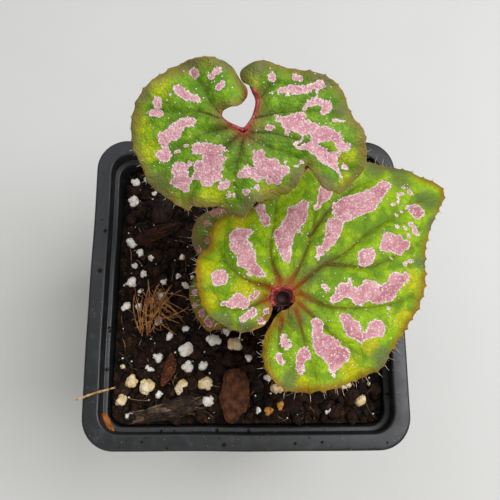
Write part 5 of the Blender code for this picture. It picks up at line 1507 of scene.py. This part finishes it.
def build_soil(finish):
    """Compost block with a crumbly top, closed down to the pot's floor."""
    half, corner = wall_inside(SOIL_LEVEL - SOIL_FALL * RIM_HALF)
    gap = 0.15
    edge = even_steps([p.xy for p in rounded_square(half - gap, corner - gap)], SOIL_STEP)
    points, faces = triangulate(edge, filled(edge, SOIL_STEP, 0.4 * SOIL_STEP))
    flat = np.column_stack([points, np.zeros(len(points))])
    height = soil_lie(points)
    near = soft_step(nearest_line(points, edge, closed=True)[0], 0.0, 2.0)
    rough = 0.75 * np.abs(lumps(flat, 3.4, 4.0)) + 0.5 * lumps(flat, 1.7, 6.0) + 0.36 * lumps(flat, 0.9, 8.0)
    height += rough * (0.35 + 0.65 * near)
    count = len(points)
    floor = wall_inside(FLOOR + gap)[0] - gap
    verts = [(x, y, z) for (x, y), z in zip(points, height)]
    all_faces = [tuple(f) for f in faces]
    rim = rim_edges(faces)
    around = {a: count + i for i, (a, _) in enumerate(rim)}
    shrink = floor / (half - gap)
    verts += [(points[a][0] * shrink, points[a][1] * shrink, FLOOR + gap) for a, _ in rim]
    all_faces += [(b, a, around[a], around[b]) for a, b in rim]
    order = [rim[0][0]]
    ahead = dict(rim)
    while len(order) < len(rim):
        order.append(ahead[order[-1]])
    all_faces.append(tuple(around[a] for a in reversed(order)))
    return new_object("soil_block", verts, all_faces, [finish])


def on_soil(x, y):
    return float(soil_lie(np.array([(x, y)]))[0])


def crumb_points(pick, count, sizes, sink):
    """Places of loose crumbs over the soil, clear of the rhizome's spine."""
    places = []
    spine = [p[:2] for p in RHIZOME_PATH]
    while len(places) < count:
        x, y = pick.uniform(-37.6, 37.6), pick.uniform(-37.6, 37.6)
        if nearest_line(np.array([(x, y)]), spine)[0][0] > 3.0:
            places.append((x, y))
    heights = soil_lie(np.array(places))
    points = []
    for (x, y), z in zip(places, heights):
        size = sizes[0] + (sizes[1] - sizes[0]) * pick.random() ** 2.2
        points.append((Vector((x, y, z + 0.35 + size * sink)), UP, size))
    return points


def build_soil_pieces(finishes, pick):
    """Crumbs, bark bits and threads that lie loose in the compost."""
    soft = crumb_shape(8)
    hard = crumb_shape(3)
    shred = tubes("shred_shape", [tube([(0.5, -0.1, 0.0), (0.2, 0.05, 0.0), (-0.2, 0.05, 0.05), (-0.5, -0.1, 0.0)],
                                       [0.014, 0.036, 0.034, 0.01], 3)], finishes["fibre_dark"])
    made = [
        scatter("soil_crumbs", soft, crumb_points(pick, 1000, (0.3, 1.7), 0.1), finishes["soil"], 1.0, 1.7, 1.3, 1),
        scatter("soil_bark_bits", hard, crumb_points(pick, 480, (0.35, 2.6), 0.0), finishes["bark_bits"], 1.0,
                1.1, 1.1, 2),
        scatter("soil_light_bits", hard, crumb_points(pick, 110, (0.2, 0.9), 0.1), finishes["bark_red"], 1.0,
                0.5, 0.7, 5),
        scatter("soil_fibres", shred, crumb_points(pick, 900, (0.8, 3.4), 0.0), finishes["fibre_dark"], 1.0,
                0.4, 1.5, 6)]
    for shape in (soft, hard, shred):
        bpy.data.objects.remove(shape)
    threads = []
    for _ in range(150):
        x, y = pick.uniform(-36, 36), pick.uniform(-36, 36)
        z = on_soil(x, y) + pick.uniform(0.5, 1.3)
        turn = pick.uniform(0, 2 * math.pi)
        length = pick.uniform(2.0, 7.0)
        way = Vector((math.cos(turn), math.sin(turn), 0.0))
        side = Vector((-way.y, way.x, 0.0)) * length * pick.uniform(-0.25, 0.25)
        start = Vector((x, y, z))
        end = start + way * length
        end.z = min(on_soil(max(-37, min(37, end.x)), max(-37, min(37, end.y))) + pick.uniform(0.3, 1.0), z + 1.5)
        if max(abs(end.x), abs(end.y)) > 37.5:
            continue
        middle = (start + end) / 2 + side + UP * pick.uniform(0.1, 0.9)
        path = bezier(start, start.lerp(middle, 0.7), end.lerp(middle, 0.7), end, 7)
        thick = pick.uniform(0.06, 0.13)
        threads.append(tube(path, [thick] * 7 + [thick * 0.4], 5))
    made.append(tubes("soil_threads", threads, finishes["fibre_dark"]))
    return made


def build_perlite(finishes, pick):
    """Perlite grains of each finish, each a cluster of angular knobs, and fine specks of it."""
    grains = list(GRAINS)
    spine = [p[:2] for p in RHIZOME_PATH]
    tries = 0
    while len(grains) < len(GRAINS) + 46 and tries < 3000:
        tries += 1
        x, y, radius = pick.uniform(-36, 36), pick.uniform(-36, 36), pick.uniform(0.6, 1.5)
        clear = all(math.hypot(x - gx, y - gy) > radius + gr + 0.8 for gx, gy, gr, _ in grains)
        if clear and nearest_line(np.array([(x, y)]), spine)[0][0] > SOIL_CALM:
            grains.append((x, y, radius, "white" if pick.random() < 0.85 else "cream"))
    cores = []
    knobs = []
    for x, y, radius, kind in grains:
        middle = Vector((x, y, on_soil(x, y) + 0.35 + 0.4 * radius))
        lean = Vector((pick.uniform(-0.5, 0.5), pick.uniform(-0.5, 0.5), 1.0)).normalized()
        cores.append((middle, lean, radius * 0.92, kind))
        for _ in range(pick.randrange(2, 5) if radius > 1.0 else 1):
            turn = pick.uniform(0, 2 * math.pi)
            out = Vector((math.cos(turn), math.sin(turn), pick.uniform(-0.2, 0.7))).normalized()
            knobs.append((middle + out * radius * 0.68, UP, radius * pick.uniform(0.32, 0.6), kind))
    specks = []
    for _ in range(240):
        x, y = pick.uniform(-37, 37), pick.uniform(-37, 37)
        specks.append((Vector((x, y, on_soil(x, y) + 0.7)), UP, pick.uniform(0.14, 0.4), "white"))
    made = []
    for name, detail, depth, size, places in (("perlite_", 3, 1.5, 1.5, cores), ("perlite_knobs_", 2, 1.2, 0.9, knobs),
                                              ("perlite_specks_", 1, 0.2, 0.5, specks)):
        shape = lump_shape(detail, 0.8)
        for kind in ("white", "cream", "orange"):
            chosen = [grain[:3] for grain in places if grain[3] == kind]
            if chosen:
                made.append(scatter(name + kind, shape, chosen, finishes["perlite_" + kind], 1.0, depth, size, 4))
        bpy.data.objects.remove(shape)
    return made


# Bark, coir and straw

def placed(chip, points):
    turn = math.radians(chip["turn"])
    spin = np.array([[math.cos(turn), -math.sin(turn)], [math.sin(turn), math.cos(turn)]])
    return np.asarray(points) @ spin.T + np.array(chip["place"])


def build_chip(name, chip, rest, finish):
    """Bark piece with a flat underside, split ragged sides and ridges along its grain."""
    smooth = smooth_closed(chip["outline"], 0.32)
    corners = np.array([tuple(p) for p in smooth])
    jag = 0.34 * lumps(np.column_stack([corners, np.zeros(len(corners))]), 0.9, 2.0)
    jag += 0.14 * lumps(np.column_stack([corners, np.zeros(len(corners))]), 0.4, 5.0)
    middle = corners.mean(axis=0)
    out = corners - middle
    out /= np.linalg.norm(out, axis=1)[:, None]
    loop = corners + out * (jag - 0.1)[:, None]
    points, faces = triangulate([Vector(p) for p in loop], filled([Vector(p) for p in loop], 0.32, 0.14))
    edge = nearest_line(points, loop, closed=True)[0]
    angle = math.radians(chip["grain"])
    along = points @ np.array((math.cos(angle), math.sin(angle)))
    across = points @ np.array((-math.sin(angle), math.cos(angle)))
    ridge = lumps(np.column_stack([along * 0.22, across, np.zeros(len(points))]), 0.55, 3.0)
    broad = lumps(np.column_stack([points, np.zeros(len(points))]), 2.6, 8.0)
    thick = chip["thickness"]
    steps = np.round((0.5 + 0.5 * broad) * 4) / 4
    top = thick * (0.5 + 0.42 * soft_step(edge, 0.0, 1.1)) + 0.26 * ridge + 0.16 * thick * (steps - 0.4)
    top = np.clip(top, 0.3, thick * 1.12)
    world = placed(chip, points)
    count = len(points)
    inset = placed(chip, points * 0.97 + middle * 0.03)
    verts = [(x, y, rest + z) for (x, y), z in zip(world, top)]
    verts += [(x, y, rest) for x, y in inset]
    all_faces = [tuple(f) for f in faces] + [tuple(i + count for i in reversed(f)) for f in faces]
    all_faces += [(b, a, a + count, b + count) for a, b in rim_edges(faces)]
    obj = new_object(name + "_piece", verts, all_faces, [finish])
    obj.data.set_sharp_from_angle(angle=math.radians(48))
    return obj


def build_splinter_ends(finish, pick, rest):
    """Torn fibres at both ends of the splinter."""
    chip = CHIPS["bark_splinter"]
    parts = []
    for i in range(80):
        left = i % 5 < 3
        y = pick.uniform(-1.4, 1.0) if left else pick.uniform(-1.2, 2.0)
        root = pick.uniform(-7.6, -5.0) if left else pick.uniform(5.0, 7.4)
        tip = pick.uniform(-12.0, -8.4) if left else pick.uniform(8.6, 11.2)
        start = placed(chip, [(root, y)])[0]
        end = placed(chip, [(tip, y + pick.uniform(-0.6, 0.6))])[0]
        z = rest + pick.uniform(0.4, 1.5)
        path = bezier(Vector((*start, z)), Vector((*(0.6 * start + 0.4 * end), z + 0.1)),
                      Vector((*(0.3 * start + 0.7 * end), z - 0.1)), Vector((*end, max(rest, z - 0.4))), 5)
        thick = pick.uniform(0.08, 0.2)
        parts.append(tube(path, [thick] * 4 + [thick * 0.7, thick * 0.2], 5, squash=0.6))
    for _ in range(16):
        root, y = pick.uniform(-6.5, 4.0), pick.uniform(-1.3, 1.8)
        start = placed(chip, [(root, y)])[0]
        end = placed(chip, [(root + pick.choice((-1, 1)) * pick.uniform(3.0, 6.5), y + pick.uniform(-0.9, 0.9))])[0]
        z = rest + pick.uniform(1.3, 2.1)
        path = bezier(Vector((*start, z - 0.5)), Vector((*(0.7 * start + 0.3 * end), z)),
                      Vector((*(0.3 * start + 0.7 * end), z)), Vector((*end, z - 0.3)), 6)
        thick = pick.uniform(0.25, 0.55)
        parts.append(tube(path, [thick * share for share in (0.3, 0.8, 1.0, 0.95, 0.8, 0.5, 0.1)], 6, squash=0.5))
    return tubes("splinter_ends", parts, finish)


def build_coir(finish, pick, rest):
    """Tuft of coconut fibres: stiff long ones from a core, others beside them, and curled short ends."""
    x, y = COIR_CORE
    middle = Vector((x, y, rest + 0.6 * COIR_CORE_RADIUS))
    parts = []

    def fibre(start, azimuth, steepness, length, bend, thick):
        around, up = math.radians(azimuth), math.radians(steepness)
        out = Vector((math.cos(around) * math.cos(up), math.sin(around) * math.cos(up), math.sin(up)))
        bow = Vector((-math.sin(around), math.cos(around), 0.0)) * length * bend
        end = start + out * length - UP * length * 0.16
        path = bezier(start, start + out * length * 0.35 + bow, start + out * length * 0.75 + bow, end, 14)
        for place in path:
            place.z = max(place.z, rest)
        parts.append(tube(path, [thick * (1.0 - 0.5 * k / 14) for k in range(15)], 6))

    for i, (azimuth, steepness, length) in enumerate(COIR_FIBRES):
        fibre(middle, azimuth, steepness, length, 0.12 * math.sin(2.1 * i), 0.19)
    for x, y, azimuth, spread, length, count in COIR_BUNDLES:
        for _ in range(count):
            start = Vector((x + pick.gauss(0.0, 0.9), y + pick.gauss(0.0, 1.0), rest + pick.uniform(0.2, 1.8)))
            fibre(start, pick.gauss(azimuth, spread), pick.uniform(2, 24), length * pick.uniform(0.6, 1.05),
                  pick.uniform(-0.1, 0.1), pick.uniform(0.12, 0.2))
    for _ in range(26):
        start = middle + Vector((pick.uniform(-3.0, 3.0), pick.uniform(-2.4, 3.0), pick.uniform(-0.8, 1.0)))
        fibre(start, pick.uniform(0, 360), pick.uniform(-10, 30), pick.uniform(2.0, 5.5), pick.uniform(-0.4, 0.4),
              pick.uniform(0.07, 0.12))
    return tubes("coir_fibres", parts, finish)


def build_straw(finish, pick):
    """Piece of dry straw over the rim, split at its ends."""
    path = spline(STRAW_PATH, 8)
    parts = [tube(path, [STRAW_RADIUS * (0.9 + 0.14 * math.sin(1.7 * i)) for i in range(len(path))], 8, squash=0.55)]
    for end, way in ((path[0], path[0] - path[2]), (path[-1], path[-1] - path[-3])):
        for _ in range(4):
            out = way.normalized() + Vector([pick.uniform(-0.25, 0.25) for _ in range(3)])
            out.z = abs(out.z) * 0.3
            parts.append(tube([end, end + out * 0.8, end + out * pick.uniform(1.2, 1.9)], [0.16, 0.11, 0.03], 5))
    return tubes("straw_piece", parts, finish)


def build_loose_fibre(finish):
    """Thin tan fibre that stands out of the soil near the front right."""
    path = spline([(26.0, -25.4, 78.2), (27.0, -27.4, 79.6), (27.6, -30.4, 79.8), (29.4, -33.4, 78.6)], 8)
    return tubes("loose_fibre", [tube(path, [0.17 * (1.0 - 0.4 * i / len(path)) for i in range(len(path))], 6)],
                 finish)


def build_rim_dirt(finishes, pick):
    """Specks of compost and dust on the rim and the ledge."""
    shape = crumb_shape(5)
    points = []
    for _ in range(90):
        side = pick.randrange(4)
        run = pick.uniform(-40, 40)
        ledge = pick.random() < 0.45
        across = pick.uniform(39.2, 40.1) if ledge else pick.uniform(41.0, 44.4)
        z = LEDGE_HEIGHT if ledge else POT_HEIGHT
        x, y = ((run, across), (run, -across), (across, run), (-across, run))[side]
        if ledge and abs(run) > 36.0:
            continue
        size = 0.12 + 0.42 * pick.random() ** 3
        points.append((Vector((x, y, z + 0.3 * size)), UP, size))
    dirt = scatter("rim_dirt", shape, points, finishes["bark_bits"], 1.0, 0.12, 0.5, 9)
    bpy.data.objects.remove(shape)
    return dirt


# Pot

def arc(half, z, corner, radius, start, end, steps, inward=1.0):
    """Rounded edge of the profile: circle points from one angle to another, in degrees."""
    points = []
    for i in range(steps + 1):
        angle = math.radians(start + (end - start) * i / steps)
        reach = radius * math.cos(angle)
        points.append((half + inward * reach, z + radius * math.sin(angle), corner + inward * reach))
    return points


def pot_profile():
    """Half width, height and corner radius down the outside, over the rim and down the inside."""
    top = POT_HEIGHT
    skirt = top - SKIRT_DROP
    ledge = top - COLLAR_DROP
    collar_in = COLLAR_HALF - WALL
    inner = WALL_CORNER + 0.2
    profile = arc(BASE_HALF - 0.8, 0.8, BASE_CORNER - 0.8, 0.8, -90, -8, 4)
    profile += [(WALL_TOP_HALF, ledge - WALL, WALL_CORNER), (COLLAR_HALF, ledge - 0.2, WALL_CORNER + 1.2)]
    profile += [(COLLAR_HALF, top - WALL, WALL_CORNER + 1.2)]
    profile += [(RIM_HALF - WALL - 0.4, top - WALL, RIM_CORNER - WALL - 0.4)]
    profile += arc(RIM_HALF - WALL - 0.4, top - WALL - 0.4, RIM_CORNER - WALL - 0.4, 0.4, 60, 0, 2)
    profile += [(RIM_HALF - WALL, skirt, RIM_CORNER - WALL), (RIM_HALF - 0.25, skirt, RIM_CORNER - 0.25)]
    profile += [(RIM_HALF, skirt + 0.3, RIM_CORNER)]
    profile += arc(RIM_HALF - 0.8, top - 0.8, RIM_CORNER - 0.8, 0.8, 0, 90, 5)
    profile += arc(collar_in + 0.7, top - 0.7, inner + 0.7, 0.7, 90, 180, 5)
    profile += [(collar_in, ledge + 0.4, inner)]
    profile += arc(collar_in - 0.4, ledge + 0.4, inner - 0.4, 0.4, 0, -90, 3)
    profile += [(WALL_TOP_HALF - WALL + 0.4, ledge - 0.05, WALL_CORNER - WALL + 0.4)]
    profile += arc(WALL_TOP_HALF - WALL + 0.4, ledge - 0.5, WALL_CORNER - WALL + 0.4, 0.4, 120, 180, 2)
    profile += [(BASE_HALF - WALL, FLOOR + 0.5, BASE_CORNER - WALL), (BASE_HALF - WALL - 0.5, FLOOR, BASE_CORNER - WALL - 0.5)]
    return profile


def build_pot(finish):
    """Square nursery pot with a turned-down rim, an inner ledge and holes in its base."""
    verts = []
    faces = []
    per_loop = 4 * (CORNER_STEPS + 1) + 4 * (SIDE_STEPS - 1)
    profile = pot_profile()
    for half, z, corner in profile:
        for point in rounded_square(half, corner, z, CORNER_STEPS, SIDE_STEPS):
            high = soft_step(np.array([z]), 60.0, POT_HEIGHT)[0]
            turn = math.atan2(point.y, point.x)
            bend = RIM_UNEVEN * high * math.sin(4 * turn + 0.7) + 0.05 * high * math.sin(11 * turn)
            out = point.xy.normalized() * bend
            verts.append((point.x + out.x, point.y + out.y, z + 0.04 * high * math.sin(6 * turn)))
    for i in range(len(profile) - 1):
        for k in range(per_loop):
            a = i * per_loop + k
            b = i * per_loop + (k + 1) % per_loop
            faces.append((a, b, b + per_loop, a + per_loop))
    faces.append(tuple(reversed(range(per_loop))))
    faces.append(tuple(range((len(profile) - 1) * per_loop, len(profile) * per_loop)))
    pot = new_object("nursery_pot", verts, faces, [finish])
    data = bmesh.new()
    for x, y, radius in DRAIN_HOLES:
        hole = bmesh.ops.create_cone(data, cap_ends=True, segments=28, radius1=radius * MM, radius2=radius * MM,
                                     depth=4 * FLOOR * MM)
        bmesh.ops.translate(data, verts=hole["verts"], vec=(x * MM, y * MM, FLOOR / 2 * MM))
    mesh = bpy.data.meshes.new("holes")
    data.to_mesh(mesh)
    data.free()
    holes = bpy.data.objects.new("holes", mesh)
    bpy.context.scene.collection.objects.link(holes)
    cut = pot.modifiers.new("cut", "BOOLEAN")
    cut.operation = "DIFFERENCE"
    cut.object = holes
    graph = bpy.context.evaluated_depsgraph_get()
    done = bpy.data.meshes.new_from_object(pot.evaluated_get(graph), depsgraph=graph)
    pot.modifiers.clear()
    pot.data = done
    bpy.data.objects.remove(holes)
    done.shade_smooth()
    done.set_sharp_from_angle(angle=math.radians(50))
    return pot


# Assembly

def make_finishes():
    finishes = {
        "pot": pot_finish(), "soil": soil_finish(), "under": leaf_under(), "stalk": stalk_skin(),
        "hair": hair_finish(), "rhizome": rhizome_skin(), "bare_vein": bare_vein_skin(), "hollow_painted_shade": stalk_hollow_painted_shade(),
        "perlite_white": perlite_finish("perlite_white", "FBF8F0", "EAE2D4", "7A5E40"),
        "perlite_cream": perlite_finish("perlite_cream", "F4E6C2", "E2BE7C", "96703E"),
        "perlite_orange": perlite_finish("perlite_orange", "D9A045", "B5702A", "6E421C"),
        "bark_brown": bark_finish("bark_brown", "3A2114", "6B4028", "8A6044", 77.0, 0.35),
        "bark_dark": bark_finish("bark_dark", "14100E", "2E221C", "4A382C", 80.0),
        "bark_splintered": bark_finish("bark_splintered", "1A1310", "3E2E24", "76604C", 10.0, 0.6),
        "bark_red": bark_finish("bark_red", "2A140B", "5A3019", "8A5834", 24.0),
        "bark_dusky": bark_finish("bark_dusky", "140B07", "2E190F", "5E361F", 24.0),
        "bark_orange": bark_finish("bark_orange", "6E3A1C", "A8622E", "C98A50", -62.0),
        "bark_bits": bark_finish("bark_bits", "0E0A08", "2C1C12", "573824", 30.0),
        "coir": fibre_finish("coir_fibre", "7A4C22", "BC8446"), "torn": fibre_finish("torn_bark", "2E221A", "6E563E"),
        "fibre_dark": fibre_finish("root_thread", "3A2618", "8A6A48"),
        "straw": fibre_finish("dry_straw", "9A7040", "D2AC74"),
        "scale": fibre_finish("papery_scale", "6E4428", "A87C50")}
    for kind, colours in PALETTES.items():
        finishes[kind] = leaf_upper("leaf_" + kind, colours)
    return finishes


def build_plant(finishes):
    pick = random.Random(11)
    hair = hair_shape()
    for key, leaf in LEAVES.items():
        if "young" in leaf:
            leaf["outline"] = leaf["outline"] or young_outline(*leaf["young"])
            leaf["veins"] = young_veins(*leaf["young"])
        leaf["branches"] = side_veins(leaf, pick)
        blade, margin, tips, outs, smooth_margin = build_blade(key, leaf, [finishes[leaf["palette"]], finishes["under"]],
                                                               pick)
        place_piece(blade, "leaf_blade", "blade_" + key)
        fringe = scatter("leaf_hairs_" + key, hair, blade_hairs(leaf, margin, tips, outs, smooth_margin, pick),
                         finishes["hair"], seed=3)
        place_piece(fringe, "leaf_blade")
        stalk, stalk_hairs = build_stalk(key, leaf, (finishes["stalk"], finishes["hollow_painted_shade"]), pick)
        place_piece(stalk, "leaf_stalk", "petiole_" + key)
        fur = scatter("stalk_hairs_" + key, hair, stalk_hairs, finishes["hair"], seed=4)
        place_piece(fur, "leaf_stalk")
    bpy.data.objects.remove(hair)
    place_piece(build_sinus_veins(LEAVES["a"], finishes["bare_vein"]), "leaf_blade")
    place_piece(build_funnel(LEAVES["b"], finishes["bare_vein"]), "leaf_blade")
    place_piece(build_rhizome(finishes["rhizome"]), "rhizome_skin", "rhizome")
    place_piece(build_stipules(finishes["scale"], pick), "rhizome_skin")


def build_ground(finishes):
    pick = random.Random(SOIL_SEED)
    place_piece(build_soil(finishes["soil"]), "soil_mix", "soil")
    for piece in build_soil_pieces(finishes, pick) + build_perlite(finishes, pick):
        place_piece(piece, "soil_mix")
    for name, chip in CHIPS.items():
        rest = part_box(name)[0].z / MM
        place_piece(build_chip(name, chip, rest, finishes[chip["finish"]]), "bark", name)
        if name == "bark_splinter":
            place_piece(build_splinter_ends(finishes["torn"], pick, rest), "bark")
    place_piece(build_chip("ledge_chip", LEDGE_CHIP, LEDGE_HEIGHT, finishes["bark_orange"]), "bark")
    place_piece(build_coir(finishes["coir"], pick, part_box("coir_tuft")[0].z / MM), "coir_fibre", "coir_tuft")
    place_piece(build_straw(finishes["straw"], pick), "dry_straw", "straw")
    place_piece(build_loose_fibre(finishes["straw"]), "dry_straw")
    place_piece(build_rim_dirt(finishes, pick), "soil_mix")


def aim_at(obj, place, target):
    obj.location = Vector(place) * MM
    obj.rotation_euler = (Vector(place) - Vector(target)).to_track_quat("Z", "Y").to_euler()


def build_studio():
    """Pale floor, large soft lights and the camera at the photograph's angle."""
    mesh = bpy.data.meshes.new("studio_floor")
    reach = 2.0
    mesh.from_pydata([(-reach, -reach, 0.0), (reach, -reach, 0.0), (reach, reach, 0.0), (-reach, reach, 0.0)],
                     [], [(0, 1, 2, 3)])
    mesh.materials.append(floor_finish())
    floor = bpy.data.objects.new("studio_floor", mesh)
    bpy.context.scene.collection.objects.link(floor)
    for name, place, size, power, colour in (
            ("window_light", (330.0, 60.0, 580.0), 440.0, 3.5, "FBFBFF"),
            ("sky_light", (-260.0, 320.0, 620.0), 520.0, 1.1, "F8FAFF"),
            ("room_light", (-120.0, -420.0, 520.0), 600.0, 0.7, "FFF9F0")):
        data = bpy.data.lights.new(name, "AREA")
        data.size = size * MM
        data.energy = power
        data.color = linear(colour)[:3]
        lamp = bpy.data.objects.new(name, data)
        bpy.context.scene.collection.objects.link(lamp)
        aim_at(lamp, place, (0.0, 0.0, 80.0))
    world = bpy.data.worlds.new("soft_room")
    world.use_nodes = True
    world.node_tree.nodes["Background"].inputs["Color"].default_value = linear("EDEDEA")
    world.node_tree.nodes["Background"].inputs["Strength"].default_value = 0.3
    bpy.context.scene.world = world
    bpy.context.scene.view_settings.view_transform = "Standard"
    data = bpy.data.cameras.new("camera")
    data.lens = CAMERA_LENS
    data.sensor_width = SENSOR
    data.clip_start = 0.01
    camera = bpy.data.objects.new("camera", data)
    bpy.context.scene.collection.objects.link(camera)
    up_angle, yaw, roll = (math.radians(a) for a in (CAMERA_ELEVATION, CAMERA_YAW, CAMERA_ROLL))
    forward = Vector((math.sin(yaw) * math.cos(up_angle), math.cos(yaw) * math.cos(up_angle), -math.sin(up_angle)))
    right = Vector((math.cos(yaw), -math.sin(yaw), 0.0))
    above = right.cross(forward)
    across = math.cos(roll) * right + math.sin(roll) * above
    upright = -math.sin(roll) * right + math.cos(roll) * above
    camera.matrix_world = Matrix.Translation(Vector(CAMERA_PLACE) * MM) @ Matrix(
        (across, upright, -forward)).transposed().to_4x4()
    bpy.context.scene.camera = camera


def main():
    finishes = make_finishes()
    build_studio()
    place_piece(build_pot(finishes["pot"]), "pot_plastic", "pot")
    build_ground(finishes)
    build_plant(finishes)


main()
